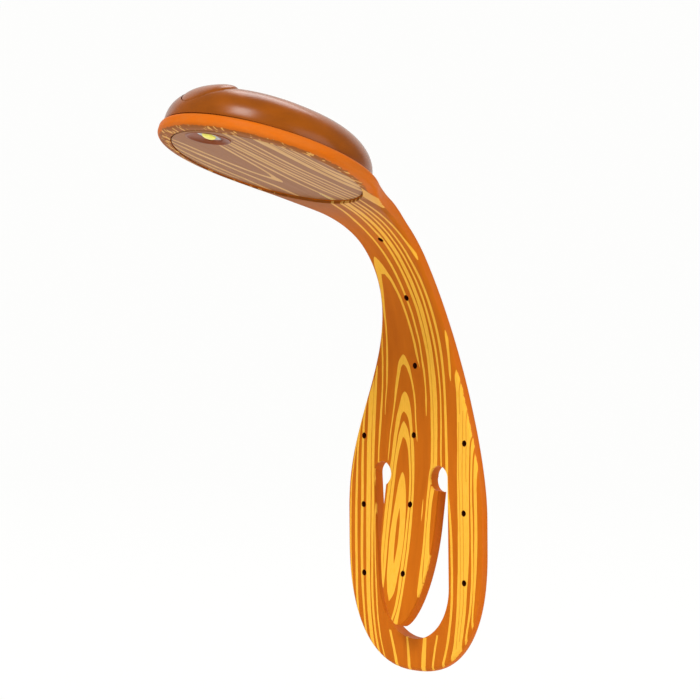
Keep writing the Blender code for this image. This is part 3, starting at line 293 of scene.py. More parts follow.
def neck_points(low, high):
    """Half outline of a stretch of the strip."""
    count = int((high - low) / POINT_STEP) + 2
    return [(s, neck_half(s)) for s in spread(low, high, count)]


def ring_points(low):
    """Half outline from low on the neck to the head's tip."""
    touch = touch_place()
    first = math.degrees(math.acos((HEAD_PLACE - touch) / RING_RADIUS))
    ring = arc(HEAD_PLACE, 0.0, -RING_RADIUS, RING_RADIUS, first, 180.0, 76)
    return neck_points(low, touch) + ring[1:-1] + [(HEAD_PLACE + RING_RADIUS, 0.0)]


def notch_arc(notch, side, low, high, count):
    """Points of a notch between two angles in degrees."""
    return arc(notch, ROOT, side * NOTCH_RADIUS, NOTCH_RADIUS, low, high, count)


def tongue_outline(top):
    """Outline of the tongue and the tab that joins it to the yoke, up to top."""
    tip = ROOT - TONGUE_LENGTH
    sides = []
    for notch, side in ((NOTCH_RIGHT, 1), (NOTCH_LEFT, -1)):
        points = []
        for angle in spread(0.0, 90.0, 34):
            share = math.cos(math.radians(angle))
            width = TONGUE_HALF * max(1 - share * share, 0.0) ** TONGUE_POWER
            points.append((side * width, tip + TONGUE_TAPER * (1 - share)))
        meet = math.acos((TONGUE_HALF - side * notch) / NOTCH_RADIUS)
        straight = spread(points[-1][1], ROOT - NOTCH_RADIUS * math.sin(meet), 8)
        points += [(side * TONGUE_HALF, s) for s in straight[1:]]
        points += notch_arc(notch, side, -math.degrees(meet), -180.0, 16)[1:]
        points.append((points[-1][0], top))
        sides.append(points)
    return sides[0] + sides[1][:0:-1]


def window_outline(top):
    """Outline of the window in the loop; the yoke's tab belongs to the tongue's piece."""
    low = WINDOW_END + WINDOW_ROUND
    sides = []
    for notch, side in ((NOTCH_RIGHT, 1), (NOTCH_LEFT, -1)):
        points = [(notch - side * NOTCH_RADIUS, top)]
        points += notch_arc(notch, side, 180.0, 0.0, 24)
        points += arc(0.0, low, side * WINDOW_HALF, -WINDOW_ROUND, 0.0, 90.0, 24)
        sides.append(points)
    return sides[0] + sides[1][-2::-1]


# ---- building flat meshes

# The ring's front edge next to the neck, as (inset, depth)
RING_FRONT = ((0.0, 1.7), (0.1, 1.3), (0.35, 1.0), (0.8, 0.8), (1.6, 0.56), (2.6, 0.3), (4.4, 0.0))
FALL_FROM = 77.0
FALL_OVER = 14.0
FALL_LESS = 0.75
LESS_FROM = 92.0
LESS_OVER = 30.0


def ring_share(s):
    """How far the front edge falls away: not on the neck, fully where the ring starts, less at the tip."""
    return ease((s - FALL_FROM) / FALL_OVER) * (1 - FALL_LESS * ease((s - LESS_FROM) / LESS_OVER))


def ring_of(mesh, outline, depth):
    """Vertices of an outline at one depth."""
    return [mesh.verts.new((x, s, depth)) for x, s in outline]


def solid(mesh, rings, caps=True):
    """Faces between neighbouring rings and over both ends; a ring of one vertex is a pole."""
    for low, high in zip(rings, rings[1:]):
        count = max(len(low), len(high))
        for step in range(count):
            other = (step + 1) % count
            if len(low) == 1:
                mesh.faces.new((low[0], high[other], high[step]))
            elif len(high) == 1:
                mesh.faces.new((low[step], low[other], high[0]))
            else:
                mesh.faces.new((low[step], low[other], high[other], high[step]))
    if caps:
        mesh.faces.new(rings[0])
        mesh.faces.new(rings[-1])
    bmesh.ops.recalc_face_normals(mesh, faces=mesh.faces[:])
    return mesh


def slab(points, edge):
    """A flat strip with rounded sides; x across, y along, z in depth."""
    mesh = bmesh.new()
    rings = []
    last = len(points) - 1
    for index, (s, width) in enumerate(points):
        before = points[max(index - 1, 0)]
        after = points[min(index + 1, last)]
        run = Vector((after[1] - before[1], after[0] - before[0])).normalized()
        across, along = run.y, -run.x
        if width < TINY:
            across, along = 0.0, -1.0 if index == 0 else 1.0
        elif index in (0, last):
            across, along = 1.0, 0.0
        deep = thickness(s)
        side = []
        for angle in spread(0.0, 90.0, len(RING_FRONT)):
            turn = math.radians(angle)
            side.append((edge * (1 - math.sin(turn)), edge * (1 - math.cos(turn))))
        back_side = [(inset, deep - rise) for inset, rise in reversed(side)]
        share = ring_share(s)
        side = [(inset + (wide - inset) * share, rise + (low - rise) * share)
                for (inset, rise), (wide, low) in zip(side, reversed(RING_FRONT))]
        side += back_side
        ring = []
        for sign, trim, order in ((1, 0.0, side), (-1, far_trim(s), side[::-1])):
            for inset, d in order:
                x = max(width - trim - inset * across, 0.0)
                ring.append(mesh.verts.new((sign * x, s - inset * along, d)))
        rings.append(ring)
    solid(mesh, rings, False)
    for ring, (s, width) in ((rings[0], points[0]), (rings[-1], points[-1])):
        if width > TINY:
            mesh.faces.new(ring)
    bmesh.ops.remove_doubles(mesh, verts=mesh.verts[:], dist=MERGE)
    bmesh.ops.dissolve_degenerate(mesh, edges=mesh.edges[:], dist=MERGE)
    bmesh.ops.recalc_face_normals(mesh, faces=mesh.faces[:])
    return mesh


def prism(outline, low, high):
    """A flat outline pulled through the depth."""
    mesh = bmesh.new()
    return solid(mesh, [ring_of(mesh, outline, depth) for depth in (low, high)])


def circle(x, s, radius, count, squash=1.0):
    """Points of a circle or an oval."""
    return [(x + radius * math.cos(2 * math.pi * step / count),
             s + squash * radius * math.sin(2 * math.pi * step / count)) for step in range(count)]


def lathe(profile, count, shift=0.0):
    """A profile of (radius, height) turned about the head's axis."""
    mesh = bmesh.new()
    rings = []
    for radius, z in profile:
        outline = circle(0.0, -shift, radius, count) if radius > TINY else [(0.0, -shift)]
        rings.append(ring_of(mesh, outline, z))
    if profile[0][0] > TINY:
        rings.append(rings[0])
    return solid(mesh, rings, False)


def to_object(mesh, name):
    """A scene object from a bmesh."""
    data = bpy.data.meshes.new(name)
    mesh.to_mesh(data)
    mesh.free()
    item = bpy.data.objects.new(name, data)
    bpy.context.scene.collection.objects.link(item)
    return item


def boolean(mesh, cutter):
    """A bmesh cut by another."""
    item = to_object(mesh, "work")
    tool = to_object(cutter, "tool")
    modifier = item.modifiers.new("cut", "BOOLEAN")
    modifier.operation = "DIFFERENCE"
    modifier.solver = "EXACT"
    modifier.object = tool
    result = bmesh.new()
    result.from_object(item, bpy.context.evaluated_depsgraph_get())
    for one in (item, tool):
        data = one.data
        bpy.data.objects.remove(one)
        bpy.data.meshes.remove(data)
    return result


SHARP_TURN = 0.6


def level(edge):
    """Whether both ends of an edge have the same depth."""
    return abs(edge.verts[0].co.z - edge.verts[1].co.z) < LEVEL


def soften(mesh, test, width, steps=3):
    """Round the sharp edges that pass a test."""
    chosen = [edge for edge in mesh.edges
              if len(edge.link_faces) == 2 and edge.calc_face_angle(0.0) > SHARP_TURN and test(edge)]
    bmesh.ops.bevel(mesh, geom=chosen, offset=width, offset_type="OFFSET", segments=steps,
                    profile=0.5, affect="EDGES", clamp_overlap=True)


# Reach and depths of the painted shade inside the pin holes
PIT_REACH = 0.8
PIT_DEPTHS = (0.1, 1.5)


def bend(mesh, name, course, seams=(), pits=()):
    """Cut a flat mesh into short rows, keep its flat places and bend it."""
    low = min(vert.co.y for vert in mesh.verts)
    high = max(vert.co.y for vert in mesh.verts)
    cuts = [low + step for step in np.arange(ROW_STEP, high - low, ROW_STEP)]
    for seam in seams:
        cuts += [seam - SEAM_ROW, seam + SEAM_ROW]
    for s in cuts:
        bmesh.ops.bisect_plane(mesh, geom=mesh.verts[:] + mesh.edges[:] + mesh.faces[:],
                               plane_co=(0, s, 0), plane_no=(0, 1, 0), dist=1e-5)
    bmesh.ops.remove_doubles(mesh, verts=mesh.verts[:], dist=2 * MERGE)
    bmesh.ops.dissolve_degenerate(mesh, edges=mesh.edges[:], dist=MERGE)
    bmesh.ops.triangulate(mesh, faces=[face for face in mesh.faces if len(face.verts) > 4])
    item = to_object(mesh, name)
    data = item.data
    # Both attributes are made first: a reference to the first is stale once the second is made
    data.attributes.new("place", "FLOAT_VECTOR", "POINT")
    data.attributes.new("hollow", "FLOAT", "POINT")
    places, hollow = data.attributes["place"], data.attributes["hollow"]
    for index, vert in enumerate(data.vertices):
        x, s, d = vert.co
        places.data[index].vector = (x, s, d)
        # Marks the walls inside each pin hole, which get painted shade
        near = any(math.hypot(x - px, s - ps) < PIT_REACH for px, ps in pits)
        hollow.data[index].value = 1.0 if near and PIT_DEPTHS[0] < d < PIT_DEPTHS[1] else 0.0
        vert.co = course.point(x, s, d)
    return item


def finish(item, angle):
    """Smooth shading with sharp corners kept."""
    item.data.shade_smooth()
    mesh = bmesh.new()
    mesh.from_mesh(item.data)
    limit = math.radians(angle)
    for edge in mesh.edges:
        edge.smooth = not (len(edge.link_faces) == 2 and edge.calc_face_angle(0.0) > limit)
    mesh.to_mesh(item.data)
    mesh.free()
    modifier = item.modifiers.new("normals", "WEIGHTED_NORMAL")
    modifier.keep_sharp = True
    modifier.weight = 60


# ---- the head's own frame

HEAD_ORIGIN = STRIP.point(0.0, HEAD_PLACE, 0.0)
HEAD_TURN = Matrix.Rotation(math.radians(HEAD_LEAN - 90.0), 4, "X")
HEAD_MATRIX = Matrix.Translation(HEAD_ORIGIN) @ HEAD_TURN


def in_head(mesh, name, material, angle):
    """Place a mesh drawn in the head's frame, keep its own coordinates and dress it."""
    item = to_object(mesh, name)
    data = item.data
    attribute = data.attributes.new("place", "FLOAT_VECTOR", "POINT")
    for index, vert in enumerate(data.vertices):
        attribute.data[index].vector = tuple(vert.co)
        vert.co = HEAD_MATRIX @ (vert.co * MM)
    dress(item, material, angle)
    return item


# ---- the printed wood grain: left and right edge of each yellow mark, as (s, left, right)

GRAIN = {
    "pair_left": [(-34.2, 6.4, 6.7), (-33, 6.1, 7.2), (-31, 5.9, 7.6), (-29, 5.95, 7.35), (-27, 6, 7.1),
        (-21, 6.15, 6.95), (-15, 6, 6.7), (-9, 5.8, 6.45), (-5, 5.8, 6.6), (-1, 6, 6.9), (0, 6.3, 7.3),
        (4, 6.4, 7.35), (8, 6.25, 7.25), (12, 5.95, 6.95), (16, 5.7, 6.55), (20, 5.3, 6.15),
        (24, 4.85, 5.75), (28, 4.4, 5.3), (32, 3.8, 4.75), (36, 3.2, 4.2), (40, 2.65, 3.6), (44, 2, 2.95),
        (48, 1.45, 2.35), (52, 0.85, 1.75), (56, 0.45, 1.4), (60, 0.35, 1.25), (64, 0.35, 1.25),
        (68, 0.6, 1.45), (72, 1.15, 2), (76, 1.9, 3), (82, 2.6, 3.8), (92, 3.4, 4.6)],
    "pair_right": [(-30.4, 7.55, 7.8), (-29, 7.5, 8.5), (-27, 7.35, 9), (-25, 7.25, 9.25), (-23, 7.15, 9),
        (-21, 7.1, 8.6), (-17, 6.95, 8.2), (-13, 6.85, 8), (-9, 6.7, 7.9), (-5, 6.9, 8.3), (-1, 7.2, 8.7),
        (2, 7.5, 8.7), (8, 7.4, 8.6), (12, 7.1, 8.4), (16, 6.7, 8.2), (20, 6.25, 7.7), (24, 5.85, 7.3),
        (28, 5.4, 6.8), (32, 4.9, 6.3), (36, 4.45, 5.8), (40, 3.9, 5.35), (44, 3.4, 4.7), (48, 2.9, 4.2),
        (52, 2.35, 3.65), (56, 2.1, 3.4), (60, 1.9, 3.3), (64, 2.1, 3.5), (68, 2.4, 3.8), (72, 2.8, 4.4),
        (76, 3.5, 5.3), (82, 4.4, 6.4), (92, 5.4, 7.4)],
    "line_a": [(-3, 10.1, 10.6), (2, 9.85, 10.4), (8, 9.55, 10.2), (16, 9.15, 9.7), (24, 8.3, 8.9),
        (32, 7.15, 7.9), (40, 6.05, 6.85), (48, 5.1, 5.8), (52, 4.65, 5.3), (56, 4.3, 5), (60, 4.2, 4.9),
        (64, 4.4, 5.15), (68, 4.8, 5.6), (72, 5.5, 6.2), (76, 6.5, 7.3), (82, 7.4, 8.1), (92, 8.4, 9.1)],
    "line_b": [(-52, 9.6, 10.3), (-44, 11.9, 12.7), (-30, 13.5, 14.3), (-16, 13.2, 14), (-3, 11.9, 12.7),
        (2, 11.65, 12.6), (8, 11.25, 12.15), (16, 10.6, 11.45), (24, 9.85, 10.65), (32, 8.95, 9.8),
        (40, 7.85, 8.7), (48, 6.85, 7.7), (52, 6.3, 7.15), (56, 5.95, 6.7), (60, 6, 6.7), (64, 6.3, 7),
        (68, 6.8, 7.5), (72, 7.35, 8.2), (76, 8.3, 9.2), (82, 9.4, 10.3), (92, 10.6, 11.4)],
    "dash_a": [(22.3, 12.75, 12.95), (23.5, 12.4, 13.05), (28, 12.05, 12.8), (31, 11.75, 12.4),
        (34, 11.45, 11.9), (35.2, 11.4, 11.5)],
    "line_c": [(54.5, 8.7, 8.9), (56, 8.5, 9.15), (60, 8.45, 9.1), (64, 8.7, 9.4), (68, 9.1, 9.9),
        (72, 9.8, 10.6), (76, 10.8, 11.7), (82, 12.1, 12.9), (92, 13.4, 14.2)],
    "leaf": [(75.5, 14.9, 15), (78, 15.2, 16.1), (80, 15.7, 17.2), (83, 16, 18.6), (87, 16.4, 19.8),
        (92, 17.2, 21.2), (97, 18.6, 22.4)],
    "line_d": [(13, 4.3, 4.5), (16, 3.9, 4.45), (20, 3.55, 4.05), (24, 3, 3.7), (28, 2.35, 2.95),
        (32, 1.75, 2.4), (36, 1, 1.7), (40, 0.35, 1.05), (44, -0.5, 0.2), (48, -1.2, -0.4), (52, -1.85, -1),
        (56, -2.45, -1.6), (60, -2.9, -2.1), (64, -3.05, -2.3), (68, -3.05, -2.2), (72, -2.55, -1.6),
        (76, -1.6, -0.7), (80, -1, 0), (86, -0.6, 0.4), (92, -0.4, 0.5)],
    "big_arch": [(12.5, -10.75, -10.6), (16, -10.8, -10.45), (20, -10.6, -10.15), (24, -10.55, -9.85),
        (28, -10.35, -9.65), (32, -10, -9.45), (36, -9.75, -9.15), (40, -9.55, -8.75), (44, -9.1, -8),
        (48, -8.5, -7.1), (50, -8.2, -6.5)],
    "big_arch_top": [(49.9, -8.2, -3.75), (52, -7.9, -4.45), (54, -7.15, -5.3), (54.9, -6.6, -5.9),
        (55.2, -6.3, -6.2)],
    "big_arch_right": [(25.3, 1.75, 1.85), (28, 0.65, 1.35), (32, -0.15, 0.6), (36, -1.05, -0.3),
        (40, -1.9, -1.1), (44, -2.85, -1.95), (46, -3.5, -2.5), (48, -4.1, -3), (50, -5.3, -3.75)],
    "arch_two": [(0.8, -9.2, -9.05), (4, -9, -8.6), (8, -8.65, -8.25), (12, -8.1, -7.65), (16, -7.6, -7),
        (20, -7.25, -6.3), (24, -6.5, -5.3), (25.2, -6.25, -4.9), (25.8, -6.1, -4.3)],
    "arch_two_top": [(25.75, -6.1, -2.1), (26.6, -5.75, -2.55), (27.5, -5.1, -3.1), (28.1, -4.5, -3.6),
        (28.35, -4.1, -3.95)],
    "arch_two_right": [(6.2, 1.3, 1.4), (8, 0.85, 1.3), (12, 0.3, 0.75), (16, -0.15, 0.4),
        (20, -1.05, -0.4), (22, -1.6, -0.95), (24, -2.5, -1.45), (25.2, -3.2, -1.85), (25.8, -4, -2.1)],
    "arch_three": [(-32.5, -6.8, -6.6), (-29, -7.5, -6.8), (-25, -8.25, -7.55), (-21, -8.7, -7.65),
        (-17, -8.8, -7.75), (-13, -8.85, -7.8), (-9, -8.75, -7.75), (-5, -8.65, -7.6), (-1, -8.4, -7.25),
        (2, -7.9, -6.85), (4, -7.65, -6.5), (6, -7.4, -6.2), (8, -7.1, -5.9), (10, -6.8, -5.4),
        (12, -6.45, -4.9), (13, -6.2, -4.5), (13.7, -6, -3.9)],
    "arch_three_top": [(13.65, -6, -1.2), (15, -5.6, -1.5), (16.5, -5.15, -1.95), (18, -4.6, -2.7),
        (18.6, -4.1, -3.3), (18.8, -3.8, -3.7)],
    "arch_three_right": [(-40.8, -1.6, 0), (-37, -0.6, 0.4), (-33, 0, 0.85), (-29, 0.25, 1.1),
        (-25, 0.4, 1.2), (-21, 0.5, 1.45), (-15, 0.45, 1.35), (-9, 0.3, 1.1), (-5, 0.05, 0.8),
        (0, -0.5, 0.5), (4, -0.8, 0.3), (6, -1, 0.05), (8, -1.3, -0.4), (10, -1.65, -0.6), (12, -2.3, -0.9),
        (13, -2.9, -1.05), (13.7, -3.7, -1.2)],
    "arch_four": [(-31.8, -6.7, -6.4), (-29, -6.9, -6.35), (-25, -7.4, -6.45), (-21, -7.5, -6.5),
        (-17, -7.55, -6.6), (-13, -7.6, -6.5), (-9, -7.5, -6.4), (-5, -7.4, -6.35), (-1, -7.05, -6.1),
        (2, -6.65, -5.5), (4, -6.25, -5), (5.5, -5.95, -4.5), (6.5, -5.75, -4.2), (7.1, -5.6, -3.9)],
    "arch_four_top": [(7.05, -5.65, -1.4), (8, -5.4, -1.75), (9.2, -5, -2.2), (10.3, -4.5, -2.9),
        (11, -4, -3.5), (11.2, -3.8, -3.7)],
    "arch_four_right": [(-40.8, -2.8, -2.2), (-37, -1.8, -0.9), (-33, -1.25, -0.3), (-29, -1.1, -0.05),
        (-25, -0.95, 0.1), (-21, -0.75, 0.2), (-15, -0.65, 0.15), (-9, -0.7, 0), (-5, -1, -0.25),
        (0, -1.5, -0.75), (4, -1.9, -1.05), (5.5, -2.4, -1.2), (6.5, -2.9, -1.3), (7.1, -3.7, -1.4)],
    "ring": [(-35.1, -3.95, -3.85), (-34.3, -4.25, -3.2), (-33, -4.75, -2.5), (-31, -5.25, -2),
        (-29, -5.6, -1.75), (-27, -5.75, -1.5), (-23, -5.9, -1.1), (-19, -6.05, -0.95), (-15, -5.95, -1.05),
        (-11, -5.6, -1.35), (-7, -5.2, -1.95), (-4.5, -4.85, -2.55), (-3, -4.4, -3), (-2.1, -4, -3.5),
        (-1.9, -3.8, -3.7)],
    "tongue_dash": [(-14, 4.7, 4.75), (-12, 4.5, 4.9), (-9.5, 4.45, 4.8), (-8.3, 4.5, 4.6)],
    "flank": [(-51, 12.6, 14.9), (-44, 14.5, 17.4), (-30, 15.8, 19.4), (-16, 16.1, 20.2), (-3, 15.9, 20.2),
        (6, 15.8, 20.2), (10, 15.5, 20.6), (14, 15.3, 20.8), (18, 14.95, 19.4), (20, 14.8, 18.6),
        (22, 14.5, 17.6), (23.6, 14.35, 16.6), (24.4, 14.4, 15), (25.2, 14.5, 14.6)],
    "flank_b": [(-48, 17.1, 17.5), (-36, 19.9, 20.6), (-20, 20.8, 21.6), (-3, 20.6, 21.3), (6, 20.6, 21.35),
        (9, 20.7, 21.5), (12, 21, 21.2)],
    "flank_c": [(-41, 20.4, 20.7), (-30, 21.5, 22.3), (-16, 22, 23.1), (-3, 21.8, 22.8), (4, 21.7, 22.7),
        (8, 21.9, 22.6), (10, 22.1, 22.3)],
    "left_a": [(-38, -22.4, -22), (-22, -23.4, -22.8), (-10, -23.2, -22.7), (-3, -22.4, -22),
        (4, -21.3, -20.8), (8, -20.5, -20), (12, -19.4, -19)],
    "left_b": [(-46, -19.9, -19.5), (-34, -21.3, -20.5), (-18, -21.5, -20.6), (-3, -20.9, -20.2),
        (4, -20.6, -20), (10, -19.9, -19.3), (14, -18.6, -18.2)],
    "left_c": [(-50, -16.9, -16.3), (-40, -18.5, -17.8), (-25, -19.4, -18.5), (-3, -19, -18.1),
        (6, -18.9, -18.1), (12, -18.7, -18), (16, -17.9, -17.4)],
    "left_d": [(-52, -14.4, -13.4), (-44, -16.3, -15.1), (-30, -17.4, -16), (-16, -17.3, -15.7),
        (-3, -17, -15.5), (4, -17, -15.45), (8, -16.9, -15.5), (12, -16.85, -15.35), (16, -16.9, -15.2),
        (20, -15.7, -15.1), (22, -15, -14.9)],
    "left_e": [(-52, -12.4, -11.7), (-44, -14.5, -13.8), (-30, -15.6, -14.8), (-3, -15.2, -14.2),
        (4, -15.2, -14.2), (8, -15.3, -14.15), (14, -15.15, -14.05), (20, -14.9, -13.95), (25, -14, -13.6)],
    "left_f": [(-52, -10.4, -10), (-44, -12.8, -12.3), (-30, -14.1, -13.6), (-16, -14.3, -13.9),
        (-3, -13, -12.5), (2, -12.85, -12.4), (8, -12.75, -12.05), (12, -12.55, -11.85),
        (20, -12.15, -11.65), (26, -12.05, -11.5), (32, -11.75, -11.25), (36, -11.2, -10.9)],
    "loop_a": [(-54, -6.4, -5.4), (-49, -7.5, -6.5), (-43, -9.2, -8.4)],
    "loop_b": [(-54, -2.2, -1.2), (-49, -2.5, -1.5), (-44, -2.8, -2.2)],
    "loop_c": [(-54, 2.4, 3.9), (-49, 2.7, 4.3), (-44, 3.4, 4.6)],
    "loop_d": [(-54, 6.2, 6.8), (-49, 6.8, 7.5), (-43, 8.2, 8.8)],
}

# Thin brown lines inside the yellow flank, as (s, middle)
FLANK_CUTS = {
    "cut_a": [(-46, 15.2), (-30, 16.9), (-12, 16.9), (2, 16.35), (9, 16.2), (12, 16.1)],
    "cut_b": [(-44, 16.4), (-30, 18.1), (-12, 18), (-3, 17.75), (8, 17.6), (15, 17.45)],
    "cut_c": [(-3, 19.1), (6, 18.9), (13, 18.6), (17, 18.2)],
    "cut_d": [(14, 16.3), (19, 15.9), (23, 15.7)],
}

# Marks on the face plate, as (y, left, right) in the head's frame, y towards the neck
PLATE_GRAIN = {
    "p_a": [(-12, -24.3, -23.4), (-2, -26.2, -25.3), (7, -25.2, -24.3), (13, -22.6, -21.8)],
    "p_b": [(-16, -21.6, -21.2), (-8, -23, -22.6), (1, -22.9, -22), (7, -21.7, -21), (10, -20.5, -20.1)],
    "p_c": [(-19, -18.4, -18.1), (-14, -20.5, -19.9), (-8, -21.4, -20.4), (-2, -21, -19.8),
        (4, -19.9, -18.8), (10, -18.7, -17.5), (14, -17.9, -16.9), (19, -17, -16.2)],
    "p_d": [(-19, -18.2, -17.8), (-14, -18.3, -17.4), (-8, -17.6, -16.3), (-2, -16.1, -14.9),
        (4, -14.9, -13.8), (10, -13.5, -12.2), (16, -11.9, -10.6), (22, -10.6, -9.8)],
    "v_left": [(-19, -16.4, -15.9), (-14, -15.3, -14.3), (-8, -14.2, -13.1), (-2, -12.6, -11.4),
        (4, -10.7, -9.3), (7, -9.3, -7.7), (8.2, -8.6, -6.5)],
    "v_top": [(8.1, -8.6, -4.6), (9.4, -7.9, -4.7), (10.8, -7.2, -5.1), (11.6, -6.5, -5.7),
        (11.9, -6.2, -6.1)],
    "v_right": [(-17, -2, -1.8), (-14, -2.7, -1.8), (-8, -3.5, -2.5), (-2, -4, -3), (4, -4.8, -3.8),
        (7, -5.7, -4.3), (8.2, -6.5, -4.6)],
    "p_e": [(-16, -0.5, -0.4), (-11, -0.9, -0.2), (-2, -1.3, -0.3), (4, -1.4, -0.3), (10, -1.2, -0.1),
        (16, -0.6, 0.5), (24, 0.6, 1.6)],
    "p_f": [(-18, 1.7, 2.5), (-11, 1.5, 2.7), (-2, 1.6, 2.9), (4, 1.8, 3.1), (10, 2.3, 3.3), (16, 3.1, 4.2),
        (24, 4.6, 5.6)],
    "p_g": [(-18, 3.1, 4.3), (-11, 3.2, 4.4), (-2, 3.2, 4.5), (4, 3.7, 4.9), (10, 4.5, 5.6), (16, 5.1, 6.2),
        (24, 6.5, 7.6)],
    "p_h": [(-18, 5.6, 6.2), (-8, 5.8, 6.3), (4, 6.3, 7), (10, 7, 7.6), (16, 7.7, 8.4), (24, 9.2, 9.9)],
    "p_i": [(-24, 7.4, 8.6), (-14, 7.4, 8.4), (-5, 7.5, 8.4), (4, 8.1, 9.1), (10, 8.9, 9.8),
        (16, 9.7, 10.7), (24, 11.3, 12.2)],
    "p_j": [(-24, 10, 11), (-14, 10.3, 11.2), (-5, 10, 11.1), (4, 10.5, 11.5), (10, 11.5, 12.5),
        (16, 12.3, 13.2), (24, 13.8, 14.7)],
    "p_k": [(-22, 14.9, 16.4), (-17, 14.6, 17.6), (-11, 14.8, 17.2), (-2, 14.9, 16.9), (4, 15.2, 17.1),
        (10, 15.9, 17.8), (14, 16.6, 18.6), (18, 17.8, 18.2)],
    "p_l": [(-20, 17.9, 18.4), (-11, 17.8, 18.3), (-2, 17.7, 18.3), (4, 18, 20), (8, 18.4, 20.6),
        (12, 18.9, 20.9), (14, 19.2, 20.2)],
    "p_m": [(-18, 19.2, 20.1), (-11, 18.9, 19.9), (-2, 19, 20), (4, 19.4, 20.1), (6, 19.8, 20.2)],
    "p_n": [(-16, 21, 21.9), (-8, 20.7, 21.7), (-2, 20.6, 21.6), (4, 20.9, 22.3), (8, 21.2, 23.6),
        (11, 22, 23.2)],
    "p_o": [(-10, 23.5, 24.5), (-4, 23.5, 25), (2, 23.6, 25), (6, 24.2, 25.4)],
}


class Nodes:
    """Small helper that adds and links shader nodes."""

    def __init__(self, tree):
        self.tree = tree

    def new(self, kind, **values):
        node = self.tree.nodes.new(kind)
        for key, value in values.items():
            setattr(node, key, value)
        return node

    def feed(self, socket, value):
        if isinstance(value, bpy.types.NodeSocket):
            self.tree.links.new(value, socket)
        else:
            socket.default_value = value

    def math(self, operation, *values, clamp=False):
        node = self.new("ShaderNodeMath", operation=operation, use_clamp=clamp)
        for socket, value in zip(node.inputs, values):
            self.feed(socket, value)
        return node.outputs[0]

    def ramp(self, value, low, high, smooth=False):
        """A rise from 0 to 1 while the value goes from low to high."""
        node = self.new("ShaderNodeMapRange", clamp=True)
        if smooth:
            node.interpolation_type = "SMOOTHSTEP"
        self.feed(node.inputs["Value"], value)
        node.inputs["From Min"].default_value = low
        node.inputs["From Max"].default_value = high
        return node.outputs["Result"]

    def mix(self, share, first, second):
        node = self.new("ShaderNodeMix", data_type="RGBA", clamp_factor=True)
        self.feed(node.inputs[0], share)
        self.feed(node.inputs[6], first)
        self.feed(node.inputs[7], second)
        return node.outputs[2]

    def noise(self, vector, scale, detail=2.0, rough=0.5):
        node = self.new("ShaderNodeTexNoise")
        self.feed(node.inputs["Vector"], vector)
        node.inputs["Scale"].default_value = scale
        node.inputs["Detail"].default_value = detail
        node.inputs["Roughness"].default_value = rough
        return node.outputs["Fac"]

    def place(self):
        """The kept coordinates as a vector and as three numbers."""
        node = self.new("ShaderNodeAttribute", attribute_name="place", attribute_type="GEOMETRY")
        parts = self.new("ShaderNodeSeparateXYZ")
        self.feed(parts.inputs[0], node.outputs["Vector"])
        return node.outputs["Vector"], *parts.outputs

    def cloud(self, vector, stretch, detail=2.0, rough=0.5):
        """Noise that is finer along the axes with larger numbers."""
        node = self.new("ShaderNodeVectorMath", operation="MULTIPLY")
        self.feed(node.inputs[0], vector)
        node.inputs[1].default_value = stretch
        return self.noise(node.outputs[0], 1.0, detail, rough)

    def largest(self, shares):
        total = shares[0]
        for share in shares[1:]:
            total = self.math("MAXIMUM", total, share)
        return total

    def curve(self, share, points):
        """A drawn curve: share and values run from 0 to 1."""
        node = self.new("ShaderNodeFloatCurve")
        self.feed(node.inputs["Value"], share)
        curve = node.mapping.curves[0]
        while len(curve.points) < len(points):
            curve.points.new(0.5, 0.5)
        for point, (x, y) in zip(curve.points, points):
            point.location = (x, y)
            point.handle_type = "AUTO_CLAMPED"
        node.mapping.update()
        return node.outputs["Value"]


# The print's reach to each side of the middle, and the softness of its edges and ends
HALF_SPAN = 30.0
SOFT_EDGE = 0.07
SOFT_END = 0.05
WAVE = 0.3


def mark(kit, across, along, points):
    """1 inside a mark given by its left and right edges."""
    low, high = points[0][0], points[-1][0]
    share = kit.ramp(along, low, high)
    edges = []
    for column in (1, 2):
        line = [((row[0] - low) / (high - low), (row[column] + HALF_SPAN) / (2 * HALF_SPAN))
                for row in points]
        edges.append(kit.curve(share, line))
    parts = [kit.ramp(along, end - soft, end + soft) for end, soft in ((low, SOFT_END), (high, -SOFT_END))]
    for more, less in ((across, edges[0]), (edges[1], across)):
        inside = kit.math("SUBTRACT", more, less)
        parts.append(kit.math("MULTIPLY_ADD", inside, HALF_SPAN / SOFT_EDGE, 0.5, clamp=True))
    total = parts[0]
    for part in parts[1:]:
        total = kit.math("MULTIPLY", total, part)
    return total


def grain(kit, vector, x, s, marks, stretch):
    """All marks of a print joined, slightly wavy, and the place across that they use."""
    wobble = kit.math("MULTIPLY_ADD", kit.cloud(vector, stretch), WAVE, -WAVE / 2)
    across = kit.math("MULTIPLY_ADD", kit.math("ADD", x, wobble), 1 / (2 * HALF_SPAN), 0.5)
    return kit.largest([mark(kit, across, s, points) for points in marks]), across


def base_material(name, colour, roughness, coat=0.0, specular=0.5):
    """A Principled material and its node helper."""
    material = bpy.data.materials.new(name)
    material.use_nodes = True
    shader = material.node_tree.nodes["Principled BSDF"]
    shader.inputs["Base Color"].default_value = colour
    shader.inputs["Roughness"].default_value = roughness
    shader.inputs["Coat Weight"].default_value = coat
    shader.inputs["Specular IOR Level"].default_value = specular
    return material, shader, Nodes(material.node_tree)


def bump(kit, shader, height, strength, distance):
    """Fine relief."""
    node = kit.new("ShaderNodeBump")
    kit.feed(node.inputs["Height"], height)
    node.inputs["Strength"].default_value = strength
    node.inputs["Distance"].default_value = distance
    kit.feed(shader.inputs["Normal"], node.outputs["Normal"])


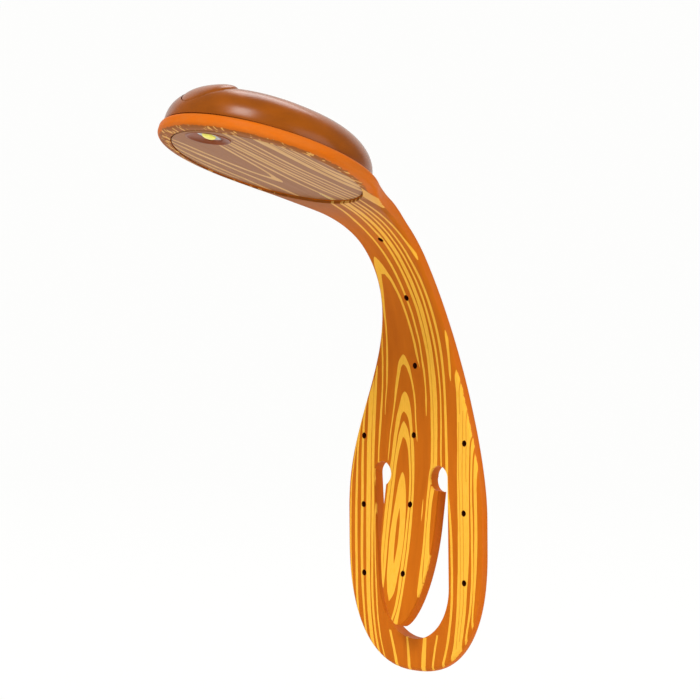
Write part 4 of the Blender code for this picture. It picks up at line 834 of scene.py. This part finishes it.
SIDE_ORANGE = linear(188, 98, 30)
SIDE_DEEP = linear(194, 94, 8)
# Painted shade inside the pin holes
PAINTED_PIT_SHADE = linear(52, 14, 2)
PRINT_BROWN = linear(190, 100, 16)
PRINT_DARK = linear(177, 90, 13)
PRINT_YELLOW = linear(232, 172, 58)
PRINT_GOLD = linear(222, 162, 40)
# Print towards the ring: the ring's own tone, darkened in part as painted shade
SHADED_RING_PRINT = linear(140, 80, 32)
RING_TAN = linear(204, 152, 80)
# Colours of the plate's film: the film's own grain tones, greyed in part by a painted reflection
PLATE_BROWN = linear(144, 96, 60)
PLATE_DARK = linear(136, 86, 46)
PLATE_TAN = linear(200, 156, 98)
PLATE_SAND = linear(182, 136, 76)
# Side wall of the plate: its unprinted plastic, darkened further with painted shade
SHADED_PLATE_SIDE = linear(96, 48, 12)
DOME_BROWN = linear(140, 70, 2)
DOME_DARK = linear(118, 58, 2)

# The long drop inside the oval mark on the tongue stays brown
OVAL_HEART = [(-25.4, -3.65, -3.55), (-23, -3.95, -3.15), (-19, -4.1, -2.95), (-15, -4.1, -3),
              (-12.8, -3.85, -3.3), (-11.2, -3.65, -3.55)]
CUT_HALF = 0.09
CUT_STRENGTH = 0.75

# Where the print turns to the ring's colours, darker in part as painted shade, and where the film ends on the
# rounded side
SHADE_AND_TINT_PLACES = (60.0, 88.0)
RING_PLACES = (83.0, 89.0)
FILM_DEPTH = 0.25
FILM_RAGGED = 0.8
FILM_LESS_ON_RING = 0.32
FILM_SOFT = 0.06


def skin_material():
    """Orange silicone with a wood-grain film on its front."""
    material, shader, kit = base_material("printed_silicone_skin", SIDE_ORANGE, 0.42, specular=0.03)
    vector, x, s, d = kit.place()
    yellow, across = grain(kit, vector, x, s, GRAIN.values(), (0.5, 0.12, 0.5))
    heart = mark(kit, across, s, OVAL_HEART)
    yellow = kit.math("MULTIPLY", yellow, kit.math("SUBTRACT", 1.0, heart))
    rows = [[(place, middle - CUT_HALF, middle + CUT_HALF) for place, middle in points]
            for points in FLANK_CUTS.values()]
    cuts = kit.largest([mark(kit, across, s, points) for points in rows])
    kept = kit.math("SUBTRACT", 1.0, kit.math("MULTIPLY", cuts, CUT_STRENGTH))
    yellow = kit.math("MULTIPLY", yellow, kept)
    mottle = kit.cloud(vector, (0.35, 0.05, 0.35), 4.0, 0.6)
    brown = kit.mix(kit.ramp(mottle, 0.35, 0.7), PRINT_BROWN, PRINT_DARK)
    grey = kit.cloud(vector, (3.2, 0.5, 1.0), 3.0)
    bright = kit.mix(kit.ramp(grey, 0.45, 0.8), PRINT_YELLOW, PRINT_GOLD)
    near_ring = kit.ramp(s, *SHADE_AND_TINT_PLACES, smooth=True)
    on_ring = kit.ramp(s, *RING_PLACES, smooth=True)
    streak = kit.ramp(kit.cloud(vector, (0.9, 0.3, 0.0), 1.0), 0.58, 0.61)
    yellow = kit.math("MAXIMUM", yellow, kit.math("MULTIPLY", streak, on_ring))
    # Towards the ring the brown darkens, partly the print's own tone and partly painted shade
    brown = kit.mix(near_ring, brown, SHADED_RING_PRINT)
    film = kit.mix(yellow, brown, kit.mix(near_ring, bright, RING_TAN))
    ragged = kit.cloud(vector, (0.55, 0.55, 0.0), 3.0, 0.7)
    limit = kit.math("MULTIPLY_ADD", ragged, FILM_RAGGED, FILM_DEPTH)
    limit = kit.math("MULTIPLY_ADD", on_ring, -FILM_LESS_ON_RING, limit)
    shown = kit.ramp(kit.math("SUBTRACT", limit, d), -FILM_SOFT, FILM_SOFT)
    soft = kit.cloud(vector, (0.2, 0.12, 0.6), 3.0)
    rubber = kit.mix(kit.ramp(soft, 0.3, 0.75), SIDE_ORANGE, SIDE_DEEP)
    # Painted shade on the walls inside the pin holes, where the hollow attribute is set
    hollow = kit.new("ShaderNodeAttribute", attribute_name="hollow", attribute_type="GEOMETRY").outputs["Fac"]
    cover = kit.mix(shown, rubber, film)
    kit.feed(shader.inputs["Base Color"], kit.mix(kit.ramp(hollow, 0.05, 0.6), cover, PAINTED_PIT_SHADE))
    fine = kit.cloud(vector, (9.0, 9.0, 9.0))
    wide = kit.cloud(vector, (0.8, 0.5, 0.8))
    kit.feed(shader.inputs["Roughness"], kit.math("MULTIPLY_ADD", wide, 0.14, 0.36))
    bump(kit, shader, kit.math("MULTIPLY_ADD", fine, 0.4, wide), 0.25, 0.00008)
    shader.inputs["Subsurface Weight"].default_value = 0.06
    shader.inputs["Subsurface Radius"].default_value = (1.0, 0.45, 0.15)
    shader.inputs["Subsurface Scale"].default_value = 0.0015
    return material


def plate_material():
    """Satin film with the same grain in greyer colours, whose grey is partly a painted reflection."""
    material, shader, kit = base_material("printed_plate_film", PLATE_BROWN, 0.42, specular=0.08)
    vector, x, y, z = kit.place()
    tan, across = grain(kit, vector, x, y, PLATE_GRAIN.values(), (0.4, 0.1, 0.4))
    mottle = kit.cloud(vector, (0.5, 0.06, 0.5), 4.0, 0.6)
    brown = kit.mix(kit.ramp(mottle, 0.35, 0.7), PLATE_BROWN, PLATE_DARK)
    film = kit.mix(tan, brown, kit.mix(kit.ramp(mottle, 0.3, 0.7), PLATE_TAN, PLATE_SAND))
    # Behind the front, the side wall takes the dark colour: unprinted plastic with painted shade
    surface = kit.math("MULTIPLY_ADD", y, PLATE_RECESS / (2 * PLATE_RADIUS), PLATE_FRONT + PLATE_RECESS / 2)
    front = kit.ramp(kit.math("SUBTRACT", z, surface), 0.3, 0.2)
    kit.feed(shader.inputs["Base Color"], kit.mix(front, SHADED_PLATE_SIDE, film))
    bump(kit, shader, kit.cloud(vector, (6.0, 6.0, 6.0)), 0.2, 0.00006)
    return material


def plastic_material(name, colour, dark, roughness, coat):
    """Moulded plastic with faint flow marks."""
    material, shader, kit = base_material(name, colour, roughness, coat, 0.16)
    shader.inputs["Coat Roughness"].default_value = 0.25
    vector = kit.place()[0]
    flow = kit.cloud(vector, (0.12, 0.08, 0.2), 3.0)
    kit.feed(shader.inputs["Base Color"], kit.mix(kit.ramp(flow, 0.3, 0.75), colour, dark))
    fine = kit.cloud(vector, (7.0, 7.0, 7.0))
    kit.feed(shader.inputs["Roughness"], kit.math("MULTIPLY_ADD", fine, 0.08, roughness - 0.04))
    bump(kit, shader, fine, 0.15, 0.00005)
    return material


SPECKLE_SCALE = 900.0
DARKER = 0.75


def simple_material(name, colour, roughness, metallic=0.0):
    """A material for the small inner pieces, with a little unevenness."""
    material, shader, kit = base_material(name, colour, roughness)
    shader.inputs["Metallic"].default_value = metallic
    where = kit.new("ShaderNodeTexCoord").outputs["Object"]
    fine = kit.noise(where, SPECKLE_SCALE, 3.0)
    darker = (*(part * DARKER for part in colour[:3]), 1.0)
    kit.feed(shader.inputs["Base Color"], kit.mix(kit.ramp(fine, 0.35, 0.75), colour, darker))
    kit.feed(shader.inputs["Roughness"], kit.math("MULTIPLY_ADD", fine, 0.2, roughness - 0.1))
    return material


# ---- the soft moulding

OUTER_EDGE = 1.25
WINDOW_EDGE = 0.45
TONGUE_EDGE = 0.6
HOLE_EDGE = 0.5
SEAM_TOP = 2.2
BLEND_DEPTH = 1.6
OVERSHOOT = 2.0

# A pin hole's mouth, as (radius, depth)
PIT_MOUTH = ((0.95, -0.4), (0.86, -0.01), (0.7, 0.14), (PIN_RADIUS, 0.3))
PIT_TAPER = 0.05
PIT_DEEP = 1.0


def pit(x, s):
    """Cutter for one pin hole with a softened mouth."""
    mesh = bmesh.new()
    profile = (*PIT_MOUTH, (PIN_RADIUS - PIT_TAPER, PIT_DEEP))
    return solid(mesh, [ring_of(mesh, circle(x, s, radius, 20), d) for radius, d in profile])


def pin_places(low, high):
    """Centreline pin holes between two places."""
    places = [PIN_FIRST + step * PIN_PITCH for step in range(-2, 4)]
    return [(0.0, s) for s in places if low < s < high]


def with_pits(mesh, places):
    """Cut pin holes."""
    for x, s in places:
        mesh = boolean(mesh, pit(x, s))
    return mesh


skin = skin_material()


def dress(item, material, angle=35.0):
    """Material, slot and shading of a new piece."""
    item.data.materials.clear()
    item.data.materials.append(material)
    finish(item, angle)


def at_seam(edge):
    """Whether an edge lies on the cut between the yoke and the tongue's tab."""
    low, high = NOTCH_LEFT + NOTCH_RADIUS - 0.01, NOTCH_RIGHT - NOTCH_RADIUS + 0.01
    return all(low < vert.co.x < high and vert.co.y > ROOT - 0.01 for vert in edge.verts)


def build_loop():
    """Loop, yoke and half of the first stretch."""
    mesh = slab(loop_points(SEAMS[0]), OUTER_EDGE)
    mesh = boolean(mesh, prism(window_outline(SEAM_TOP), -OVERSHOOT, THICK + OVERSHOOT))

    def at_window(edge):
        flat = all(vert.co.z < LEVEL or vert.co.z > THICK - LEVEL for vert in edge.verts)
        low, high = NOTCH_LEFT - NOTCH_RADIUS - 0.1, WINDOW_HALF + 0.1
        inside = all(low < vert.co.x < high and vert.co.y > WINDOW_END - 0.1 for vert in edge.verts)
        return flat and level(edge) and inside and not at_seam(edge)

    soften(mesh, at_window, WINDOW_EDGE)
    places = pin_places(LOOP_END, SEAMS[0])[-1:]
    for side in (-1, 1):
        places += [(side * LEG_X, LEG_FIRST - step * PIN_PITCH) for step in range(3)]
    mesh = with_pits(mesh, places)
    item = bend(mesh, "skin_loop", STRIP, [SEAMS[0]], places)
    dress(item, skin)
    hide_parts("clip_frame")
    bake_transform(item)


def build_tongue():
    """The tongue with its tab, bending at its root."""
    mesh = prism(tongue_outline(SEAM_TOP), 0.0, THICK)
    soften(mesh, lambda edge: level(edge) and not at_seam(edge), TONGUE_EDGE, 4)
    places = pin_places(ROOT - TONGUE_LENGTH, ROOT)[::-1]
    mesh = with_pits(mesh, places)
    item = bend(mesh, "skin_tongue", TONGUE, [SEAM_TOP], places)
    dress(item, skin)
    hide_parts("clip_tongue")
    start = tuple(TONGUE.point(0.0, ROOT + TONGUE_BEND, BLEND_DEPTH))
    end = tuple(TONGUE.point(0.0, ROOT - TONGUE_BEND, BLEND_DEPTH))
    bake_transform(item)


def build_arm(index):
    """A piece of the strip across a flex line, from the middle of one stretch to the next."""
    low, high = SEAMS[index - 1], SEAMS[index]
    places = pin_places(low, high)
    mesh = with_pits(slab(neck_points(low, high), OUTER_EDGE), places)
    item = bend(mesh, "skin_arm_%d" % index, STRIP, [low, high], places)
    dress(item, skin)
    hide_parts("arm_segment_%d" % index)
    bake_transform(item)


def build_ring():
    """The last half stretch, the neck and the ring round the head."""
    low = SEAMS[-1]
    mesh = slab(ring_points(low), OUTER_EDGE)
    hole = circle(0.0, HEAD_PLACE, HOLE_RADIUS, 160)
    mesh = boolean(mesh, prism(hole, -OVERSHOOT, RING_BACK + OVERSHOOT))

    def at_hole(edge):
        radii = [math.hypot(vert.co.x, vert.co.y - HEAD_PLACE) for vert in edge.verts]
        return level(edge) and all(abs(radius - HOLE_RADIUS) < 0.05 for radius in radii)

    soften(mesh, at_hole, HOLE_EDGE, 4)
    item = bend(mesh, "skin_ring", STRIP, [low])
    dress(item, skin)
    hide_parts("arm_segment_5", "head_ring")
    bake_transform(item)


build_loop()
build_tongue()
for number in range(1, 5):
    build_arm(number)
build_ring()


# ---- the head

COVER_WALL = 1.5
FULL_FROM = 6.0
FULL_OVER = 14.0
LEAN_OVER = 5.0
SEAT_RADIUS = DOOR_RADIUS + 0.3
SEAT_DEPTH = 1.3
SEAT_BORE = 11.2
SEAT_LOW = 2.5
ROOF_FROM = 14.4
LIP = 0.12
BUTTON_SUNK = 0.2
BUTTON_SKIRT = 1.6
BUTTON_WELL = 0.8
BUTTON_RINGS = (12, 24, 36, 47, 57, 66, 73, 79, 83, 86, 88, 90)
BUTTON_SKEW = 0.3
DOOR_EDGE = 0.3
DOOR_LOW = 10.0
DOOR_NECK = 10.9
DOOR_THICK = 1.0
GROOVE = ((10.4, 0.0), (10.25, 0.15), (10.0, 0.15), (9.85, 0.0))
SLOT_REACH = 6.1
SLOT_HALF = 0.9
SLOT_DEPTH = 0.6
DOT_PLACE = 8.0
DOT_RADIUS = 0.55
DOT_DEPTH = 0.25
PLATE_ROUND = 0.25
PLATE_WALL = 1.2
PLATE_FLAT = 20.0
BEZEL_OVERLAP = 0.35

# The bezel's rings as shares of its half sizes, with the depth behind its lip
BEZEL_RINGS = (
    (1.0, 1.0, 0.7), (1.0, 1.0, 0.14), (0.99, 0.985, 0.05), (0.965, 0.96, 0.0),
    (0.93, 0.93, 0.03), (0.87, 0.88, 0.2), (0.76, 0.82, 0.42), (0.6, 0.75, 0.6),
)
BEZEL_BACK = (0.93, 0.93, 0.9)

# The square well at its floor and the chip, as (half across, half along, depth behind the chip's face)
WELL_RINGS = ((3.1, 2.95, -0.01), (2.7, 2.6, 0.05), (2.7, 2.6, 0.55), (3.6, 3.0, 0.55))
CHIP_RINGS = ((2.35, 1.15), (2.5, 1.0), (2.5, 0.1), (2.4, 0.0), (2.1, 0.0), (2.0, 0.12))
CHIP_WELL = 2.05

dome_plastic = plastic_material("glossy_brown_housing", DOME_BROWN, DOME_DARK, 0.26, 0.08)
bezel_plastic = plastic_material("glossy_bezel", linear(128, 58, 8), linear(96, 40, 4), 0.3, 0.0)
plate_film = plate_material()


def dome_profile(offset, low, high, count):
    """Points of the shoulder between two angles, moved out by an offset."""
    return arc(DOME_FLAT, DOME_BASE, DOME_SHOULDER + offset, DOME_RISE + offset, low, high, count)


def fuller(mesh):
    """Fill the dome's shoulder out towards the tip and move it that way."""
    for vert in mesh.verts:
        x, y, z = vert.co
        away = math.hypot(x, y + DOME_SHIFT)
        if away <= DOME_FLAT:
            continue
        power = 2 + DOME_FULLNESS * ease((-y - FULL_FROM) / FULL_OVER)
        across, up = (away - DOME_FLAT) / DOME_SHOULDER, max(z - DOME_BASE, 0.0) / DOME_RISE
        turn = math.atan2(up, across)
        grow = (math.cos(turn) ** power + math.sin(turn) ** power) ** (-1 / power)
        wide = (DOME_FLAT + (away - DOME_FLAT) * grow) / away
        lean = DOME_LEAN * ease((away - DOME_FLAT) / LEAN_OVER)
        vert.co = (x * wide, (y + DOME_SHIFT) * wide - DOME_SHIFT - lean,
                   DOME_BASE + (z - DOME_BASE) * (grow if z > DOME_BASE else 1.0))


def dome_height(x, y):
    """Height of the dome over a place, before it is filled out."""
    away = math.hypot(x, y + DOME_SHIFT) - DOME_FLAT
    if away <= 0:
        return DOME_TOP
    return DOME_BASE + DOME_RISE * math.sqrt(max(1 - (away / DOME_SHOULDER) ** 2, 0.0))


def button_oval(gap, count=64):
    """Outline of the button, grown by a gap."""
    points = circle(0.0, 0.0, BUTTON_X + gap, count, (BUTTON_Y + gap) / (BUTTON_X + gap))
    return [(x + BUTTON_SIDE, y - BUTTON_PLACE) for x, y in points]


def build_dome():
    """The domed cover, with its seats for the door and the button."""
    rim, skirt = SEAT_RADIUS, DOME_FLAT + DOME_SHOULDER
    profile = [(skirt - 0.35, RING_BACK), (skirt - 0.1, RING_BACK + 0.05), (skirt, RING_BACK + 0.25)]
    profile += dome_profile(0.0, 2.5, 88.0, 34)
    seat = ((rim + 0.25, 0.0), (rim + 0.07, 0.07), (rim, 0.25), (rim, SEAT_DEPTH), (SEAT_BORE, SEAT_DEPTH),
            (SEAT_BORE, SEAT_LOW), (ROOF_FROM, SEAT_LOW))
    profile += [(radius, DOME_TOP - deep) for radius, deep in seat]
    profile += dome_profile(-COVER_WALL, 85.0, 0.0, 18)
    mesh = lathe(profile, 180, DOME_SHIFT)
    mesh = boolean(mesh, prism(button_oval(BUTTON_GAP), BUTTON_FLOOR - BUTTON_WELL, DOME_TOP + OVERSHOOT))

    def at_opening(edge):
        rims = []
        for vert in edge.verts:
            share = math.hypot((vert.co.x - BUTTON_SIDE) / (BUTTON_X + BUTTON_GAP),
                               (vert.co.y + BUTTON_PLACE) / (BUTTON_Y + BUTTON_GAP))
            rims.append(abs(share - 1) < 0.02 and vert.co.z > dome_height(vert.co.x, vert.co.y) - 0.05)
        return all(rims)

    soften(mesh, at_opening, LIP, 2)
    fuller(mesh)
    item = in_head(mesh, "dome_cover", dome_plastic, 40.0)
    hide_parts("upper_housing")
    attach(item, "head")


def build_button():
    """The pad over the lamp: flush towards the rim, proud towards the door."""
    mesh = bmesh.new()
    edge = button_oval(0.0)

    def pad(share, place):
        x = BUTTON_SIDE + (place[0] - BUTTON_SIDE) * share
        y = -BUTTON_PLACE + (place[1] + BUTTON_PLACE) * share
        inward = y + BUTTON_PLACE + BUTTON_SKEW * (x - BUTTON_SIDE)
        proud = BUTTON_PROUD * ease(inward / (2 * BUTTON_Y) + 0.75)
        crown = (1 - share ** 5) ** 0.5
        return x, y, dome_height(x, y) - BUTTON_SUNK + (proud + BUTTON_SUNK) * crown

    rows = [[mesh.verts.new(pad(0.0, edge[0]))]]
    for angle in BUTTON_RINGS:
        rows.append([mesh.verts.new(pad(math.sin(math.radians(angle)), place)) for place in edge])
    skirt = [pad(1.0, place) for place in edge]
    rows.append([mesh.verts.new((x, y, min(max(z - BUTTON_SKIRT, BUTTON_FLOOR), z - 0.1)))
                 for x, y, z in skirt])
    middle = (BUTTON_SIDE, -BUTTON_PLACE, dome_height(BUTTON_SIDE, -BUTTON_PLACE) - 2.0)
    rows.append([mesh.verts.new(middle)])
    fuller(solid(mesh, rows, False))
    item = in_head(mesh, "button_cap", dome_plastic, 50.0)
    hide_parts("push_button")
    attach(item, "button")


def build_door():
    """The battery door, with its coin slot and a small turn mark."""
    low = DOME_TOP - DOOR_THICK
    profile = [(0.0, DOOR_LOW), (DOOR_NECK, DOOR_LOW), (DOOR_NECK, low), (DOOR_RADIUS, low)]
    profile += arc(DOOR_RADIUS - DOOR_EDGE, DOME_TOP - DOOR_EDGE, DOOR_EDGE, DOOR_EDGE, 0.0, 90.0, 5)
    profile += [(radius, DOME_TOP - deep) for radius, deep in (*GROOVE, (0.0, 0.0))]
    mesh = lathe(profile, 128, DOME_SHIFT)
    slot = []
    for half in (SLOT_HALF, -SLOT_HALF):
        slot += arc(math.copysign(SLOT_REACH, half), -DOME_SHIFT, half, half, -90.0, 90.0, 9)
    mesh = boolean(mesh, prism(slot, DOME_TOP - SLOT_DEPTH, DOME_TOP + OVERSHOOT))

    def at_slot(edge):
        near = all(abs(vert.co.x) < SLOT_REACH + SLOT_HALF + 0.2
                   and abs(vert.co.y + DOME_SHIFT) < SLOT_HALF + 0.1 for vert in edge.verts)
        return near and all(vert.co.z > DOME_TOP - 0.01 for vert in edge.verts)

    soften(mesh, at_slot, LIP, 2)
    dot = circle(0.0, DOT_PLACE - DOME_SHIFT, DOT_RADIUS, 20)
    mesh = boolean(mesh, prism(dot, DOME_TOP - DOT_DEPTH, DOME_TOP + OVERSHOOT))
    item = in_head(mesh, "door_disc", dome_plastic, 30.0)
    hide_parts("battery_door")
    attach(item, "battery_door")


def build_plate():
    """The printed face plate, a little deeper in the ring towards the neck."""
    edge, wall = PLATE_ROUND, PLATE_RADIUS - PLATE_WALL
    profile = [(0.0, 0.0), (PLATE_FLAT, 0.0)] + arc(PLATE_RADIUS - edge, edge, edge, edge, -90.0, 0.0, 6)
    profile += [(PLATE_RADIUS, RING_BACK), (wall, RING_BACK), (wall, PLATE_THICK), (0.0, PLATE_THICK)]
    mesh = lathe(profile, 160)
    oval = circle(LAMP_SIDE, -LAMP_PLACE, BEZEL_X - BEZEL_OVERLAP, 64, BEZEL_Y / BEZEL_X)
    mesh = boolean(mesh, prism(oval, -3.0, 3.0))
    for vert in mesh.verts:
        if vert.co.z < 2.0:
            vert.co.z += PLATE_FRONT + PLATE_RECESS * (vert.co.y / PLATE_RADIUS + 1) / 2
    item = in_head(mesh, "plate_disc", plate_film, 35.0)
    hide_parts("face_plate")
    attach(item, "head")


def lamp_ring(mesh, half_x, half_y, z, power, count):
    """A ring round the lamp: an oval at power 1, squarer at less."""
    outline = []
    for cos, sin in circle(0.0, 0.0, 1.0, count):
        outline.append((half_x * math.copysign(abs(cos) ** power, cos) + LAMP_SIDE,
                        half_y * math.copysign(abs(sin) ** power, sin) - LAMP_PLACE))
    return ring_of(mesh, outline, z)


def build_bezel():
    """The funnel round the lamp."""
    mesh = bmesh.new()
    rings = [lamp_ring(mesh, BEZEL_X * wide, BEZEL_Y * long, BEZEL_LIP + deep, 1.0, 72)
             for wide, long, deep in BEZEL_RINGS]
    rings += [lamp_ring(mesh, wide, long, CHIP_FRONT + deep, 0.5, 72) for wide, long, deep in WELL_RINGS]
    wide, long, deep = BEZEL_BACK
    rings.append(lamp_ring(mesh, BEZEL_X * wide, BEZEL_Y * long, BEZEL_LIP + deep, 1.0, 72))
    solid(mesh, rings + rings[:1], False)
    item = in_head(mesh, "bezel_funnel", bezel_plastic, 50.0)
    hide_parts("led_bezel")
    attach(item, "head")


def build_chip():
    """The lamp's ceramic package with a shallow well, and the yellow bead in it."""
    mesh = bmesh.new()
    solid(mesh, [lamp_ring(mesh, half, half, CHIP_FRONT + deep, 0.35 if half > CHIP_WELL else 0.8, 32)
                 for half, deep in CHIP_RINGS])
    package = in_head(mesh, "lamp_chip", ceramic, 40.0)
    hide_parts("led_package")
    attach(package, "head")

    profile = [(0.0, CHIP_FRONT + 0.3), (BEAD_RADIUS, CHIP_FRONT + 0.3)]
    profile += arc(0.0, CHIP_FRONT, BEAD_RADIUS, -BEAD_RISE, 0.0, 90.0, 14)
    profile[-1] = (0.0, CHIP_FRONT - BEAD_RISE)
    mesh = lathe(profile, 40)
    bmesh.ops.translate(mesh, verts=mesh.verts[:], vec=(LAMP_SIDE, -LAMP_PLACE, 0.0))
    bead = in_head(mesh, "lamp_bead", phosphor, 50.0)
    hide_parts("led_lens")
    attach(bead, "head")


ceramic = simple_material("led_ceramic", linear(176, 178, 178), 0.35)
phosphor = simple_material("led_phosphor", linear(226, 214, 84), 0.3)
shader = phosphor.node_tree.nodes["Principled BSDF"]
# A faint painted glow brightens the phosphor; it is not the lamp's own light
shader.inputs["Emission Color"].default_value = linear(244, 236, 130)
shader.inputs["Emission Strength"].default_value = 0.12

build_dome()
build_button()
build_door()
build_plate()
build_bezel()
build_chip()


# ---- materials of the solids that stay

steel = simple_material("bright_steel", linear(200, 200, 204), 0.3, 1.0)
iron = simple_material("core_wire_iron", linear(150, 148, 144), 0.4, 1.0)
brass = simple_material("contact_brass", linear(214, 178, 96), 0.3, 1.0)
board = simple_material("board_laminate", linear(28, 110, 58), 0.45)
black = simple_material("black_plastic", linear(28, 28, 28), 0.5)

FINISHES = (
    (ceramic, "resistor_1 resistor_2"),
    (steel, "board_screw_1 board_screw_2 board_screw_3 coin_cell_lower coin_cell_upper switch_body"),
    (brass, "negative_contact positive_contact wire_ferrule"),
    (board, "circuit_board"),
    (black, "battery_cradle switch_plunger"),
    (iron, "loop_wire core_wire_yoke core_wire_tongue core_wire_head"),
    (iron, "core_wire_1 core_wire_2 core_wire_3 core_wire_4 core_wire_5"),
)
for material, nodes in FINISHES:
    for node in nodes.split():
        item = bpy.data.objects[node]
        if not item.material_slots:
            item.data.materials.append(material)
        for holder in item.material_slots:
            holder.material = material


# ---- floor, light and camera

# The sheet, in metres, and how much of its own white it shows
SHEET_GLOW = 0.95
SHEET_LEVEL = -0.075
SHEET_HALF = 1.6
SHEET_FRONT = -1.92
SHEET_BACK = 1.2
SHEET_TOP = 1.8
SHEET_BEND = 0.5
SHEET_TURN = 46.0


def stage_sheet():
    """A pale floor that curves up behind."""
    mesh = bmesh.new()
    profile = [(SHEET_FRONT, SHEET_LEVEL)]
    profile += arc(SHEET_BACK, SHEET_LEVEL + SHEET_BEND, SHEET_BEND, SHEET_BEND, -90.0, 0.0, 16)
    profile.append((SHEET_BACK + SHEET_BEND, SHEET_TOP))
    rows = [[mesh.verts.new((side, away, z)) for side in (-SHEET_HALF, SHEET_HALF)] for away, z in profile]
    for low, high in zip(rows, rows[1:]):
        mesh.faces.new((low[0], low[1], high[1], high[0]))
    item = to_object(mesh, "studio_sheet")
    item.data.shade_smooth()
    item.rotation_euler = (0.0, 0.0, math.radians(SHEET_TURN))
    paper, paper_shader, kit = base_material("pale_sheet", linear(243, 243, 242), 0.8, specular=0.2)
    rays = kit.new("ShaderNodeLightPath").outputs
    seen = kit.largest([rays[kind] for kind in ("Is Camera Ray", "Is Glossy Ray", "Is Transmission Ray")])
    glow = kit.new("ShaderNodeEmission")
    glow.inputs["Color"].default_value = linear(255, 255, 254)
    blend = kit.new("ShaderNodeMixShader")
    kit.feed(blend.inputs[0], kit.math("MULTIPLY", seen, SHEET_GLOW))
    kit.feed(blend.inputs[1], paper_shader.outputs[0])
    kit.feed(blend.inputs[2], glow.outputs[0])
    kit.feed(paper.node_tree.nodes["Material Output"].inputs["Surface"], blend.outputs[0])
    item.data.materials.append(paper)


def area_light(name, place, target, size, power):
    """A soft square lamp aimed at a point."""
    light = bpy.data.lights.new(name, "AREA")
    light.size = size
    light.energy = power
    item = bpy.data.objects.new(name, light)
    bpy.context.scene.collection.objects.link(item)
    item.location = place
    item.rotation_euler = (target - place).to_track_quat("-Z", "Y").to_euler()


# Place beside, above and before the light's middle in metres, size in metres, power in watts
LIGHTS = (
    ("key", -0.42, 0.74, 0.64, 0.36, 9.0),
    ("fill", 0.8, 0.15, 0.7, 0.8, 5.0),
    ("rim", 0.1, 0.85, -0.6, 0.5, 3.5),
)

# The fitted camera: angles, then millimetres; the focal length is 5000 pixels of a 700 pixel picture
AZIMUTH = math.radians(46.01)
ELEVATION = math.radians(1.84)
ROLL = math.radians(-1.72)
DISTANCE = 1280.45
SHIFT_X = 16.65
SHIFT_Z = -29.59
SENSOR = 36.0
FOCAL = 5000.0 / 700.0 * SENSOR


def build_camera():
    """The photograph's viewpoint; returns its back, right and up."""
    flat = math.cos(ELEVATION)
    back = Vector((math.sin(AZIMUTH) * flat, -math.cos(AZIMUTH) * flat, math.sin(ELEVATION)))
    right = Vector((math.cos(AZIMUTH), math.sin(AZIMUTH), 0.0))
    up = back.cross(right)
    rows = Matrix.Rotation(ROLL, 3, "Z") @ Matrix((right, up, back))
    place = rows.transposed() @ Vector((-SHIFT_X, -SHIFT_Z, DISTANCE)) * MM
    data = bpy.data.cameras.new("photo_camera")
    data.sensor_width = SENSOR
    data.lens = FOCAL
    data.clip_start = 0.05
    data.clip_end = 20.0
    item = bpy.data.objects.new("photo_camera", data)
    bpy.context.scene.collection.objects.link(item)
    item.matrix_world = Matrix.Translation(place) @ rows.transposed().to_4x4()
    bpy.context.scene.camera = item
    return back, right, up


back, right, up = build_camera()
stage_sheet()
centre = Vector((0.0, -0.02, 0.03))
for name, beside, above, before, size, power in LIGHTS:
    area_light(name, centre + right * beside + up * above + back * before, centre, size, power)

world = bpy.data.worlds.new("studio")
bpy.context.scene.world = world
world.use_nodes = True
world_kit = Nodes(world.node_tree)
ground = world.node_tree.nodes["Background"]
ground.inputs["Color"].default_value = linear(250, 250, 250)
ray = world_kit.new("ShaderNodeLightPath")
dim = world_kit.math("MULTIPLY_ADD", ray.outputs["Is Glossy Ray"], -0.3, 0.6)
sky = world_kit.math("MULTIPLY_ADD", ray.outputs["Is Camera Ray"], 0.4, dim)
world_kit.feed(ground.inputs["Strength"], sky)
bpy.context.scene.view_settings.view_transform = "Standard"
